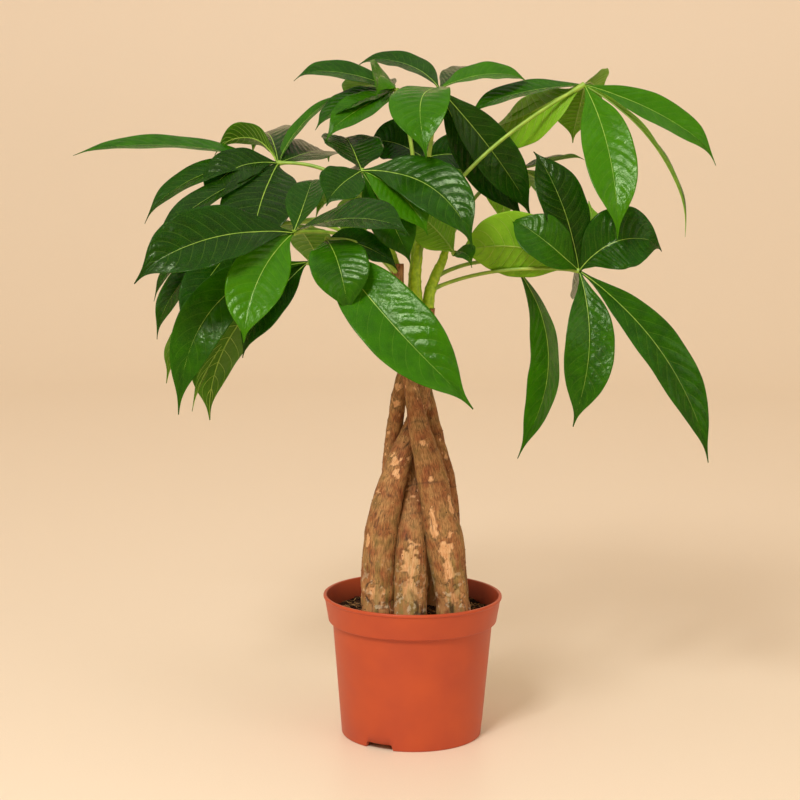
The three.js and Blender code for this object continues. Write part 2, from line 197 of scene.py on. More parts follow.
# %% Pot profile
POT_PROFILE = [  # radius, height, rounding of the corner
    (0.01, 0.2, 0), (PAD_RADIUS, 0.2, 0.6), (PAD_RADIUS + 1, FLOOR_HEIGHT, 1),
    (WALL_FOOT_RADIUS - FOOT_RING, FLOOR_HEIGHT, 0.8), (WALL_FOOT_RADIUS - FOOT_RING, 0, 0.5),
    (WALL_FOOT_RADIUS - 0.2, 0, 1.2), (wall_radius(step_height - 1) + 0.1, step_height - 1, 1.2),
    (COLLAR_FOOT_RADIUS - 0.6, step_height - 0.2, 0.9), (RIM_RADIUS - 1.3, POT_HEIGHT - 3.4, 0.8),
    (RIM_RADIUS - 0.1, POT_HEIGHT - 2.6, 0.8), (RIM_RADIUS - 0.1, POT_HEIGHT - 0.1, 1.1),
    (RIM_RADIUS - 3.1, POT_HEIGHT - 0.1, 0.9), (COLLAR_FOOT_RADIUS - WALL, step_height + 2, 0.8),
    (wall_radius(step_height) - WALL, step_height, 1), (wall_radius(floor_top) - WALL, floor_top, 1),
    (0.01, floor_top, 0)]
print("corners in the pot's profile:", len(POT_PROFILE))

# %% Round the corners
LONGEST_STRETCH = 12


def rounded(profile, pieces=4):
    """Replaces each corner by a short curve of the given size, and adds points to long stretches."""
    corners = [np.array(p[:2], dtype=float) for p in profile]
    out = [corners[0]]
    sizes = [p[2] for p in profile[1:-1]]
    for before, corner, after, size in zip(corners, corners[1:], corners[2:], sizes):
        back, ahead = before - corner, after - corner
        cut = min(size, 0.45 * np.linalg.norm(back), 0.45 * np.linalg.norm(ahead))
        first = corner + back / np.linalg.norm(back) * cut
        last = corner + ahead / np.linalg.norm(ahead) * cut
        for s in np.linspace(0, 1, pieces + 1):
            out.append((1 - s) ** 2 * first + 2 * s * (1 - s) * corner + s * s * last)
    out.append(corners[-1])
    filled = [out[0]]
    for a, b in zip(out, out[1:]):
        cuts = max(1, int(np.linalg.norm(b - a) // LONGEST_STRETCH))
        filled += [a + (b - a) * i / cuts for i in range(1, cuts + 1)]
    return np.array(filled)


pot_outline = rounded(POT_PROFILE)
print("points in the pot's profile:", len(pot_outline))

# %% [markdown]
# ## From rings of points to a mesh
# Most pieces here are grids of points wrapped round a line or an axis. Working them out with numpy
# arrays is quick. One helper turns points and faces into a smooth mesh, one joins the points of a
# grid with four-cornered faces, and two more turn an outline round and close its ends.


# %% Mesh helpers
def mesh_piece(name, points, faces, materials, uv=None, face_material=None, attributes=None):
    mesh = bpy.data.meshes.new(name)
    points = np.asarray(points, dtype=np.float64)
    mesh.from_pydata((points * MM).tolist(), [], faces if isinstance(faces, list) else faces.tolist())
    mesh.shade_smooth()
    loops = np.empty(len(mesh.loops), dtype=np.int32)
    mesh.loops.foreach_get("vertex_index", loops)
    if uv is not None:
        layer = mesh.uv_layers.new(name="surface")
        layer.data.foreach_set("uv", np.asarray(uv, dtype=np.float32)[loops].ravel())
    for key, values in (attributes or {}).items():
        values = np.asarray(values, dtype=np.float32)
        kind, part = ("FLOAT_VECTOR", "vector") if values.shape[1] == 3 else ("FLOAT", "value")
        mesh.attributes.new(key, kind, "POINT").data.foreach_set(part, values.ravel())
    for each in materials:
        mesh.materials.append(each)
    if face_material is not None:
        mesh.polygons.foreach_set("material_index", np.asarray(face_material, dtype=np.int32))
    mesh.update()
    piece = bpy.data.objects.new(name, mesh)
    bpy.context.collection.objects.link(piece)
    return piece


def grid_faces(rows, columns, wrap=False):
    """Four-cornered faces of a grid of points; wrap joins the last column to the first."""
    r = np.arange(rows - 1)[:, None]
    c = np.arange(columns if wrap else columns - 1)[None, :]
    after = (c + 1) % columns
    a, b = r * columns + c, r * columns + after
    return np.stack([a, b, b + columns, a + columns], axis=-1).reshape(-1, 4)


print("mesh helpers ready")


# %% A lathe
def turned(outline, segments):
    """Points and faces of an outline turned round the upright axis, still open at its ends."""
    angles = np.linspace(0, 2 * math.pi, segments, endpoint=False)
    ring = np.stack([np.cos(angles), np.sin(angles)], axis=-1)
    points = np.empty((len(outline), segments, 3))
    points[:, :, :2] = outline[:, None, :1] * ring[None]
    points[:, :, 2] = outline[:, 1:2]
    return points.reshape(-1, 3), grid_faces(len(outline), segments, wrap=True)


def close_ends(points, faces, segments):
    """Replaces the first and the last ring, which lie by the axis, by one point each."""
    rows = len(points) // segments
    low = [0, 0, points[0][2]]
    high = [0, 0, points[-1][2]]
    quads = faces.reshape(rows - 1, segments, 4)[1:-1].reshape(-1, 4) - segments
    count = (rows - 2) * segments
    c = np.arange(segments)
    n = (c + 1) % segments
    last = (rows - 3) * segments
    fans = np.vstack([np.stack([np.full(segments, count), n, c], -1),
                      np.stack([last + c, last + n, np.full(segments, count + 1)], -1)])
    return np.vstack([points[segments:-segments], low, high]), quads.tolist() + fans.tolist()


print("lathe ready")

# %% [markdown]
# ## Turn the pot
# Three shallow notches in the foot let water out from below. They need no cutting tool: the lowest
# points of the foot ring are simply lifted there.

# %% The pot
NOTCH_WIDTH = 28
NOTCH_HEIGHT = 5.5
NOTCH_ANGLES = (-117, 3, 123)
POT_SEGMENTS = 216
points, faces = turned(pot_outline, POT_SEGMENTS)
in_ring = np.hypot(points[:, 0], points[:, 1]) > WALL_FOOT_RADIUS - FOOT_RING - 2
turn = np.degrees(np.arctan2(points[:, 1], points[:, 0]))
for notch in NOTCH_ANGLES:
    off = np.abs((turn - notch + 180) % 360 - 180) * math.pi / 180 * WALL_FOOT_RADIUS
    lifted = (off < NOTCH_WIDTH / 2) & in_ring & (points[:, 2] < NOTCH_HEIGHT)
    points[lifted, 2] = NOTCH_HEIGHT + 0.05 * points[lifted, 2]
points, faces = close_ends(points, faces, POT_SEGMENTS)
pot = mesh_piece("moulded_pot", points, faces, [pot_plastic])
print("pot faces:", len(pot.data.polygons))

# %% [markdown]
# ## Drain holes
# Six round holes in the floor let water out. A hole through a turned body is easiest as a Boolean:
# six pegs are subtracted from the pot, the result is kept as a plain mesh, and the pegs are thrown
# away. Then the finished pot takes the place of the measured one.


# %% Cut the drain holes
def plain_mesh(piece):
    """Keeps the result of a piece's modifiers as its mesh and removes the modifiers."""
    shown = piece.evaluated_get(bpy.context.evaluated_depsgraph_get())
    mesh = bpy.data.meshes.new_from_object(shown)
    piece.modifiers.clear()
    piece.data = mesh


DRAIN_HOLE_RADIUS = 5
DRAIN_HOLE_CIRCLE = 42
DRAIN_HOLE_COUNT = 6
PEG_LENGTH = 16
PEG_SIDES = 32
peg_outline = np.array([[0.01, 0], [DRAIN_HOLE_RADIUS, 0], [DRAIN_HOLE_RADIUS, PEG_LENGTH],
                        [0.01, PEG_LENGTH]])
peg_points, peg_faces = close_ends(*turned(peg_outline, PEG_SIDES), PEG_SIDES)
all_points, all_faces = [], []
for i in range(DRAIN_HOLE_COUNT):
    way = (i + 0.5) / DRAIN_HOLE_COUNT * 2 * math.pi
    all_points.append(peg_points + [DRAIN_HOLE_CIRCLE * math.cos(way), DRAIN_HOLE_CIRCLE * math.sin(way), 1])
    all_faces += [[corner + i * len(peg_points) for corner in face] for face in peg_faces]
pegs = mesh_piece("pegs", np.vstack(all_points), all_faces, [pot_plastic])
cut = pot.modifiers.new("drain_holes", "BOOLEAN")
cut.object = pegs
cut.solver = "EXACT"
plain_mesh(pot)
bpy.data.objects.remove(pegs)
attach(pot, "root")
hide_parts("pot")
print("pot faces with its holes:", len(pot.data.polygons))

# %% [markdown]
# ## Damp potting mix
# Potting mix is mostly dark peat with paler shreds of root and bark. Damp peat is nearly black
# in its hollows and brown on its crumbs, and it hardly shines. Noise at 5 mm colours the clods and
# noise at 0.8 mm colours the crumbs.

# %% Soil material
potting_mix, tree = empty_material("damp_peat_potting_mix")
place = (node(tree, "ShaderNodeTexCoord"), "Object")
clods = node(tree, "ShaderNodeTexNoise", Vector=place, Scale=1 / (5 * MM), Detail=4.0)
fine = node(tree, "ShaderNodeTexNoise", Vector=place, Scale=1 / (0.8 * MM), Detail=3.0)
half_clods = node(tree, "ShaderNodeMath", operation="MULTIPLY", i0=clods, i1=0.5)
both = node(tree, "ShaderNodeMath", operation="MULTIPLY_ADD", i0=fine, i1=0.5, i2=half_clods)
peat = node(tree, "ShaderNodeValToRGB", [(0.35, "#0e0602"), (0.5, "#241208"), (0.64, "#4a2c15")], Fac=both)
crumbly = node(tree, "ShaderNodeBump", Height=fine, Strength=0.7, Distance=0.6 * MM)
surface = node(tree, "ShaderNodeBsdfPrincipled", Base_Color=peat, Roughness=0.9, Specular_IOR_Level=0.15,
               Normal=crumbly)
node(tree, "ShaderNodeOutputMaterial", Surface=surface)
print("material:", potting_mix.name)

# %% [markdown]
# ## Where the stems run
# The soil rises a little round each stem, so the stems' plan comes before the soil. It has the same
# places as the measured model: five woody stems that lean together and cross. Each row is x, y, z
# and radius. A stem's second row lies just under the top of the soil.

# %% The plan of the stems
STEMS = {
    "stem_front_left": [
        [-33, -41, 84, 15], [-33, -41, 108, 15.4], [-33, -40, 139, 14.8], [-31, -34, 195, 15],
        [-22, -27, 241, 12.5], [-12, -20, 271, 10], [0, -9, 300, 8.2], [8, 2, 333, 7],
        [11, 6, 365, 6.5], [12, 4, 407, 6.2]],
    "stem_front_right": [
        [39, -38, 84, 14.6], [39, -38, 108, 15.2], [36.5, -37, 139, 15], [28.5, -33, 195, 17],
        [19, -31, 241, 14], [12, -30, 271, 12], [4, -27, 300, 9], [-3, -23, 333, 6.4],
        [-10, -18, 365, 6], [-15, -10, 400, 6], [-17, -6, 449, 5]],
    "stem_middle": [
        [-2, -45, 84, 14.4], [-2, -45, 108, 15.6], [-2.5, -42, 139, 15.4], [-2, -29, 195, 15],
        [0, -10, 241, 9], [-2, 2, 271, 7.5], [1, 10, 300, 6.8], [-5, 12, 333, 6.3],
        [-14, 11, 365, 6], [-15, 7, 400, 6], [-17, 9, 428, 5.6]],
    "stem_back_left": [
        [-22, 22, 84, 12.5], [-22, 22, 108, 13.5], [-23, 19, 139, 12.5], [-24, 14, 195, 10.6],
        [-22, 9, 241, 8.4], [-21, 4, 271, 7.2], [-18, -3, 300, 7], [-13, -8, 333, 6.8],
        [-4, -7, 365, 6.4], [2, -8, 404, 6]],
    "stem_back_right": [
        [16, 20, 84, 13], [16, 20, 108, 14], [20, 19, 139, 14], [31.5, 17, 195, 13],
        [31, 13, 241, 8.2], [24, 14, 271, 6.8], [17, 15, 300, 6.3], [9, 18, 333, 6],
        [1, 19, 365, 6], [-1, 14, 400, 5.8], [-2, 16, 420, 5.4]],
}
FEET = [rows[1] for rows in STEMS.values()]
print("stems:", len(STEMS))

# %% [markdown]
# ## The body of soil
# The soil is poured, so it takes the inside shape of the pot and only its top is free. The top rolls
# gently, as in the measured model, rises a little where each stem presses it up, and carries small
# clods. It is made as a turned body whose top points are then lifted by noise.

# %% Height of the soil's top
SOIL_HEIGHT = 117
SOIL_BUMP = 2.2
SOIL_RISE = 2.4  # round a stem


def soft_noise(u, v, seed, period=None):
    """Smooth noise from -1 to 1 on a grid of seeded values; u may repeat after period cells."""
    rng = np.random.default_rng(seed)
    size = 256
    table = rng.uniform(-1, 1, (size, size))
    u0, v0 = np.floor(u).astype(int), np.floor(v).astype(int)
    fu, fv = u - u0, v - v0
    fu, fv = fu * fu * (3 - 2 * fu), fv * fv * (3 - 2 * fv)
    wrap = period or size
    a, b = np.mod(u0, wrap) % size, np.mod(u0 + 1, wrap) % size
    c, d = np.mod(v0, size), np.mod(v0 + 1, size)
    top = table[a, c] * (1 - fu) + table[b, c] * fu
    bottom = table[a, d] * (1 - fu) + table[b, d] * fu
    return top * (1 - fv) + bottom * fv


def soil_height(x, y):
    rolls = np.sin(x / 11 + 1) * np.cos(y / 13) + 0.6 * np.sin((x - y) / 6)
    lift = sum(SOIL_RISE * np.exp(-((np.hypot(x - foot_x, y - foot_y) - radius) / 5) ** 2)
               for foot_x, foot_y, _, radius in FEET)
    clods = 0.8 * soft_noise(x / 7 + 90, y / 7 + 90, 5) + 0.45 * soft_noise(x / 2.6 + 90, y / 2.6 + 90, 6)
    return SOIL_HEIGHT + SOIL_BUMP * 0.6 * rolls + lift + clods


print("soil at the pot's middle:", round(float(soil_height(0, 0)), 1), "mm up")

# %% Soil body
SOIL_SEGMENTS = 160
SOIL_TOP_RINGS = 56
CLEARANCE = 0.3
soil_edge = COLLAR_FOOT_RADIUS - WALL - 2 * CLEARANCE
soil_low = floor_top + CLEARANCE
soil_side = [(0.01, soil_low), (wall_radius(soil_low) - WALL - CLEARANCE, soil_low),
             (wall_radius(step_height) - WALL - 2 * CLEARANCE, step_height), (soil_edge, step_height + 3)]
soil_top = [(soil_edge * share, SOIL_HEIGHT) for share in np.linspace(1, 0.0002, SOIL_TOP_RINGS)]
points, faces = turned(np.array(soil_side + soil_top), SOIL_SEGMENTS)
top = points[:, 2] > step_height + 4
points[top, 2] = soil_height(points[top, 0], points[top, 1])
points, faces = close_ends(points, faces, SOIL_SEGMENTS)
soil = mesh_piece("soil_body", points, faces, [potting_mix])
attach(soil, "root")
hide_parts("soil")
print("soil faces:", len(soil.data.polygons))

# %% [markdown]
# ## Things that repeat, by Geometry Nodes
# Thousands of crumbs, fibres, veins and corky dots are not placed by hand. A Geometry Nodes tree
# scatters or sweeps them by rule, with its settings as named inputs and a fixed seed, so that it
# gives the same result each time. Its result is then kept as a plain mesh.


# %% Tree helpers
def geometry_tree(name, numbers):
    """A tree with a surface and named numbers going in, and its input node."""
    tree = bpy.data.node_groups.new(name, "GeometryNodeTree")
    tree.interface.new_socket("Surface", in_out="INPUT", socket_type="NodeSocketGeometry")
    for label, value in numbers.items():
        kind = "NodeSocketInt" if isinstance(value, int) else "NodeSocketFloat"
        tree.interface.new_socket(label, in_out="INPUT", socket_type=kind).default_value = value
    tree.interface.new_socket("Geometry", in_out="OUTPUT", socket_type="NodeSocketGeometry")
    return tree, node(tree, "NodeGroupInput")


def grown(name, source, tree, **values):
    """Runs the tree on a source object and gives its result as a piece of its own."""
    inputs = [item for item in tree.interface.items_tree if item.in_out == "INPUT"]
    keys = {item.name: item.identifier for item in inputs}
    modifier = source.modifiers.new("grow", "NODES")
    modifier.node_group = tree
    for label, value in values.items():
        modifier[keys[label]] = value
    shown = source.evaluated_get(bpy.context.evaluated_depsgraph_get())
    mesh = bpy.data.meshes.new_from_object(shown)
    mesh.name = name
    bpy.data.objects.remove(source)
    piece = bpy.data.objects.new(name, mesh)
    bpy.context.collection.objects.link(piece)
    return piece


print("tree helpers ready")

# %% [markdown]
# ## Crumbs on the soil
# Seen close, the top of the soil is all small lumps. They are scattered on a copy of the soil's
# top that leaves the stems out. Each lump is a small sphere, flattened, tilted a little and bent by
# noise, so that no two look alike. It has few faces, because there are thousands.


# %% A tree that scatters lumps
def scatter_tree(name, look):
    """Small rounded lumps on a surface, each flattened and turned at random."""
    tree, source = geometry_tree(name, {"Spacing": 0.002, "Density": 1e5, "Smallest": 0.0004,
                                        "Largest": 0.0015, "Flatness": 0.6, "Seed": 1})
    seed = (source, "Seed")
    points = node(tree, "GeometryNodeDistributePointsOnFaces", distribute_method="POISSON",
                  Mesh=(source, "Surface"), Distance_Min=(source, "Spacing"),
                  Density_Max=(source, "Density"), Seed=seed)
    lump = node(tree, "GeometryNodeMeshIcoSphere", Radius=1.0, Subdivisions=1)
    size = node(tree, "FunctionNodeRandomValue", data_type="FLOAT", Min=(source, "Smallest"),
                Max=(source, "Largest"), Seed=seed)
    squashed = node(tree, "ShaderNodeMath", operation="MULTIPLY", i0=size, i1=(source, "Flatness"))
    shape = node(tree, "ShaderNodeCombineXYZ", X=size, Y=size, Z=squashed)
    spin = node(tree, "FunctionNodeRandomValue", data_type="FLOAT_VECTOR", Min=(-0.5, -0.5, 0),
                Max=(0.5, 0.5, 6.28), Seed=seed)
    turn = node(tree, "FunctionNodeRotateRotation", rotation_space="LOCAL", Rotation=(points, "Rotation"),
                Rotate_By=spin)
    lumps = node(tree, "GeometryNodeInstanceOnPoints", Points=points, Instance=lump, Rotation=turn,
                 Scale=shape)
    real = node(tree, "GeometryNodeRealizeInstances", Geometry=lumps)
    place = node(tree, "GeometryNodeInputPosition")
    rough = node(tree, "ShaderNodeTexNoise", Vector=place, Scale=1 / (1.2 * MM))
    centred = node(tree, "ShaderNodeVectorMath", operation="SUBTRACT", i0=(rough, "Color"),
                   i1=(0.5, 0.5, 0.5))
    shift = node(tree, "ShaderNodeVectorMath", operation="SCALE", i0=centred, Scale=0.8 * MM)
    moved = node(tree, "GeometryNodeSetPosition", Geometry=real, Offset=shift)
    painted = node(tree, "GeometryNodeSetMaterial", Geometry=moved, Material=look)
    node(tree, "NodeGroupOutput", Geometry=painted)
    return tree


crumb_tree = scatter_tree("peat_crumbs", potting_mix)
print("nodes in the tree:", len(crumb_tree.nodes))

# %% Scatter the crumbs
BED_RINGS = 40
BED_TURNS = 120
rings = np.linspace(1.2, soil_edge - 2.5, BED_RINGS)
turns = np.linspace(0, 2 * math.pi, BED_TURNS, endpoint=False)
x = rings[:, None] * np.cos(turns)
y = rings[:, None] * np.sin(turns)
bed_points = np.stack([x, y, soil_height(x, y) + 0.2], axis=-1).reshape(-1, 3)
bed_faces = grid_faces(BED_RINGS, BED_TURNS, wrap=True)
clear = np.ones(len(bed_points), dtype=bool)
for foot_x, foot_y, _, radius in FEET:
    clear &= np.hypot(bed_points[:, 0] - foot_x, bed_points[:, 1] - foot_y) > radius - 1
bed = mesh_piece("crumb_bed", bed_points, bed_faces[clear[bed_faces].all(axis=1)], [potting_mix])
crumbs = grown("soil_crumbs", bed, crumb_tree, Spacing=1.5 * MM, Density=3e5, Smallest=0.5 * MM,
               Largest=1.9 * MM, Flatness=0.7, Seed=4)
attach(crumbs, "root")
print("crumb faces:", len(crumbs.data.polygons))

# %% [markdown]
# ## Fibres on the soil
# Thin dry roots lie across the crumbs, paler than the peat and just as dull. Each is a short
# wandering line, drawn from a seeded generator and laid on the surface. A second tree then sweeps a
# small circle along every line, with the thickness stored at its points. The same kind of tree makes
# the stalks and veins of the leaves further on.


# %% Tubes along lines
def tube_tree(name, look, sides):
    """Sweeps a circle along each line of a wire mesh; the thickness attribute gives the radius."""
    tree, source = geometry_tree(name, {"Thickness factor": 1.0})
    wire = node(tree, "GeometryNodeMeshToCurve", Mesh=(source, "Surface"))
    thick = node(tree, "GeometryNodeInputNamedAttribute", data_type="FLOAT", Name="thickness")
    scale = node(tree, "ShaderNodeMath", operation="MULTIPLY", i0=thick, i1=(source, "Thickness factor"))
    ring = node(tree, "GeometryNodeCurvePrimitiveCircle", Resolution=sides, Radius=1.0)
    swept = node(tree, "GeometryNodeCurveToMesh", Curve=wire, Profile_Curve=ring, Scale=scale,
                 Fill_Caps=True)
    real = node(tree, "GeometryNodeRealizeInstances", Geometry=swept)
    smooth = node(tree, "GeometryNodeSetShadeSmooth", Geometry=real)
    painted = node(tree, "GeometryNodeSetMaterial", Geometry=smooth, Material=look)
    node(tree, "NodeGroupOutput", Geometry=painted)
    return tree


def wire_piece(name, lines):
    """A wire mesh from lines, each a pair of points and radii, in millimetres."""
    points = np.vstack([line[0] for line in lines])
    radii = np.concatenate([line[1] for line in lines])
    edges, first = [], 0
    for line, _ in lines:
        edges += [(first + i, first + i + 1) for i in range(len(line) - 1)]
        first += len(line)
    mesh = bpy.data.meshes.new(name)
    mesh.from_pydata((points * MM).tolist(), edges, [])
    data = mesh.attributes.new("thickness", "FLOAT", "POINT")
    data.data.foreach_set("value", (radii * MM).astype(np.float32))
    wire = bpy.data.objects.new(name, mesh)
    bpy.context.collection.objects.link(wire)
    return wire


print("tube helpers ready")

# %% Fibre material
root_fibre, tree = empty_material("dry_root_fibre")
place = (node(tree, "ShaderNodeTexCoord"), "Object")
shreds = node(tree, "ShaderNodeTexNoise", Vector=place, Scale=1 / (6 * MM), Detail=2.0)
dry = node(tree, "ShaderNodeValToRGB", [(0.35, "#3a2412"), (0.5, "#7a5228"), (0.62, "#b58a52")], Fac=shreds)
surface = node(tree, "ShaderNodeBsdfPrincipled", Base_Color=dry, Roughness=0.8)
node(tree, "ShaderNodeOutputMaterial", Surface=surface)
print("material:", root_fibre.name)

# %% Lay the fibres
FIBRE_COUNT = 520
FIBRE_STEP = 2.2
rng = np.random.default_rng(21)
lines = []
for _ in range(FIBRE_COUNT):
    way = rng.uniform(0, 2 * math.pi)
    spot = np.array([math.cos(way), math.sin(way)]) * soil_edge * 0.9 * math.sqrt(rng.uniform(0, 1))
    heading, bend = rng.uniform(0, 2 * math.pi), rng.uniform(-0.5, 0.5)
    path = [spot]
    for _ in range(rng.integers(4, 10)):
        heading += bend + rng.normal(0, 0.25)
        path.append(path[-1] + FIBRE_STEP * np.array([math.cos(heading), math.sin(heading)]))
    path = np.array([p for p in path if np.hypot(*p) < soil_edge - 3])
    if len(path) < 3:
        continue
    height = soil_height(path[:, 0], path[:, 1]) + 0.9 + rng.uniform(0, 1.6, len(path))
    radii = rng.uniform(0.14, 0.5) * np.linspace(1, 0.4, len(path))
    lines.append((np.column_stack([path, height]), radii))
fibre_tree = tube_tree("root_fibres", root_fibre, 5)
fibres = grown("soil_fibres", wire_piece("fibre_lines", lines), fibre_tree)
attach(fibres, "root")
print("fibres:", len(lines))

# %% [markdown]
# ## Bark
# Money-tree bark is thin and tan-brown, with fine upright cracks, small corky dots and places where
# the outer skin has flaked away to a warm orange layer. Near the soil it turns warmer, is stained by
# green algae and marked by pale minerals from the water, each fading out at its own height.
# The patterns follow a straightened copy of each stem, stored with the mesh, so that the cracks run
# along the stem even where it leans. The same mesh says where the bark has peeled or is grooved.

# %% Bark patterns
BARK_STRETCH = 0.15  # draws the cracks out along the stem
bark, tree = empty_material("money_tree_bark")
straight = (node(tree, "ShaderNodeAttribute", attribute_name="straight"), "Vector")
peeled = (node(tree, "ShaderNodeAttribute", attribute_name="peeled"), "Fac")
groove = (node(tree, "ShaderNodeAttribute", attribute_name="groove"), "Fac")
height = (node(tree, "ShaderNodeAttribute", attribute_name="height"), "Fac")
drawn_out = node(tree, "ShaderNodeMapping", Vector=straight, Scale=(1, 1, BARK_STRETCH))
cracks = node(tree, "ShaderNodeTexNoise", Vector=drawn_out, Scale=1 / (0.9 * MM), Detail=5.0,
              Roughness=0.65)
runs = node(tree, "ShaderNodeTexNoise", Vector=drawn_out, Scale=1 / (4.5 * MM), Detail=4.0)
broad = node(tree, "ShaderNodeTexNoise", Vector=straight, Scale=1 / (14 * MM), Detail=4.0)
crusts = node(tree, "ShaderNodeTexNoise", Vector=straight, Scale=1 / (6 * MM), Detail=4.0)
speckle = node(tree, "ShaderNodeTexNoise", Vector=straight, Scale=1 / (0.7 * MM), Detail=2.0)
print("patterns on the bark:", len([each for each in tree.nodes if each.type == "TEX_NOISE"]))

# %% Bark colours
skin = node(tree, "ShaderNodeValToRGB", Fac=broad, stops=[
    (0.3, "#97552b"), (0.42, "#ac723f"), (0.55, "#bd8f56"), (0.68, "#9d7a42"), (0.8, "#8d7c4c")])
lines_on_skin = node(tree, "ShaderNodeValToRGB", Fac=cracks, stops=[
    (0.36, "#4a3426"), (0.46, "#a89a8c"), (0.56, "#e0d8cf"), (0.72, "#ffffff")])
tan = node(tree, "ShaderNodeMix", data_type="RGBA", blend_type="MULTIPLY", Factor=0.7, A=skin,
           B=lines_on_skin)
bared = node(tree, "ShaderNodeValToRGB", Fac=cracks, stops=[(0.3, "#b27847"), (0.5, "#d39f6b"),
                                                          (0.7, "#e8bf90")])
marked = node(tree, "ShaderNodeMix", data_type="RGBA", Factor=peeled, A=tan, B=bared)
MARKS = [  # colour, pattern, its ramp, the heights between which it fades, and its share below them
    ("#c08a52", broad, [(0.38, 0.0), (0.5, 1.0)], 125, 170, 0.75),
    ("#5f7030", runs, [(0.5, 0.0), (0.62, 1.0)], 130, 225, 0.5),
    ("#e6d6b4", crusts, [(0.58, 0.0), (0.64, 0.6)], 125, 185, 1.0)]
for tone, pattern, stops, low, high, most in MARKS:
    fading = node(tree, "ShaderNodeMapRange", Value=height, From_Min=low * MM, From_Max=high * MM,
                  To_Min=most, To_Max=0.0)
    spots = node(tree, "ShaderNodeValToRGB", stops, Fac=pattern)
    share = node(tree, "ShaderNodeMath", operation="MULTIPLY", i0=fading, i1=spots)
    marked = node(tree, "ShaderNodeMix", data_type="RGBA", Factor=share, A=marked, B=linear(tone))
print("marks near the soil:", len(MARKS))

# %% Bark surface
dark = node(tree, "ShaderNodeMath", operation="MULTIPLY", i0=groove, i1=0.85)
grooved = node(tree, "ShaderNodeMix", data_type="RGBA", Factor=dark, A=marked, B=linear("#33200f"))
dull = node(tree, "ShaderNodeValToRGB", [(0.3, 0.9), (0.7, 0.68)], Fac=cracks)
relief = node(tree, "ShaderNodeMath", operation="MULTIPLY_ADD", i0=speckle, i1=0.3, i2=cracks)
cracked = node(tree, "ShaderNodeBump", Height=relief, Strength=0.6, Distance=0.7 * MM)
surface = node(tree, "ShaderNodeBsdfPrincipled", Base_Color=grooved, Roughness=dull, Normal=cracked)
node(tree, "ShaderNodeOutputMaterial", Surface=surface)
print("material:", bark.name)

# %% [markdown]
# ## A smooth line for each stem
# Each stem is a row of measured points. A centripetal Catmull-Rom curve goes through every one of
# them without loops or overshoot, and two directions square to it carry the rings of the surface.


# %% A line through the rows
def unit(vectors):
    return vectors / np.maximum(np.linalg.norm(vectors, axis=-1, keepdims=True), 1e-9)


def curve_through(rows, count):
    """Evenly spaced places (x, y, z, radius) on a smooth curve, and the length up to each."""
    knots = np.array(rows, dtype=float)
    ends = np.vstack([2 * knots[:1] - knots[1:2], knots, 2 * knots[-1:] - knots[-2:-1]])
    gap = np.sqrt(np.linalg.norm(np.diff(ends[:, :3], axis=0), axis=1))
    s = np.linspace(0, 1, 24, endpoint=False)[:, None]
    fine = []
    for i in range(len(knots) - 1):
        p0, p1, p2, p3 = ends[i:i + 4]
        d0, d1, d2 = gap[i:i + 3]
        m1 = d1 * ((p1 - p0) / d0 - (p2 - p0) / (d0 + d1) + (p2 - p1) / d1)
        m2 = d1 * ((p2 - p1) / d1 - (p3 - p1) / (d1 + d2) + (p3 - p2) / d2)
        fine.append((2 * s ** 3 - 3 * s ** 2 + 1) * p1 + (s ** 3 - 2 * s ** 2 + s) * m1
                    + (3 * s ** 2 - 2 * s ** 3) * p2 + (s ** 3 - s ** 2) * m2)
    fine = np.vstack(fine + [knots[-1:]])
    length = np.concatenate([[0], np.cumsum(np.linalg.norm(np.diff(fine[:, :3], axis=0), axis=1))])
    at = np.linspace(0, length[-1], count)
    return np.stack([np.interp(at, length, fine[:, k]) for k in range(4)], axis=-1), at


lengths = {name: round(float(curve_through(rows, 2)[1][-1])) for name, rows in STEMS.items()}
print("lengths of the stems in mm:", lengths)


# %% A skin round the line
def outward_rings(path, sides):
    """Directions from the curve to each point of its rings, and each point's turn."""
    tangent = unit(np.gradient(path[:, :3], axis=0))
    first = unit(np.array([1.0, 0, 0]) - tangent * tangent[:, :1])
    second = np.cross(tangent, first)
    turn = np.linspace(0, 2 * math.pi, sides, endpoint=False)
    return first[:, None] * np.cos(turn)[:, None] + second[:, None] * np.sin(turn)[:, None], turn


def closed_rings(name, rings, look, attributes):
    """A closed skin over rings of points, with a fan at each end."""
    rows, sides = rings.shape[:2]
    points = np.vstack([rings.reshape(-1, 3), rings[0].mean(axis=0), rings[-1].mean(axis=0)])
    c = np.arange(sides)
    n = (c + 1) % sides
    low, high = rows * sides, rows * sides + 1
    last = (rows - 1) * sides
    faces = grid_faces(rows, sides, wrap=True).tolist()
    faces += np.stack([np.full(sides, low), n, c], -1).tolist()
    faces += np.stack([last + c, last + n, np.full(sides, high)], -1).tolist()
    filled = {}
    for key, values in attributes.items():
        flat = values.reshape(rows * sides, -1)
        filled[key] = np.vstack([flat, values[0].reshape(sides, -1).mean(axis=0),
                                 values[-1].reshape(sides, -1).mean(axis=0)])
    return mesh_piece(name, points, faces, [look], attributes=filled)


print("stem helpers ready")

# %% [markdown]
# ## Where the bark has flaked
# On the real stems the outer bark has come off in a few places, the largest low down, where
# watering keeps it wet. Noise could scatter such places, but these are so plain to see that each is
# given by its height, its turn to the right of the front, and its half height and half width.
# Noise then makes their edges ragged, and adds small specks elsewhere.

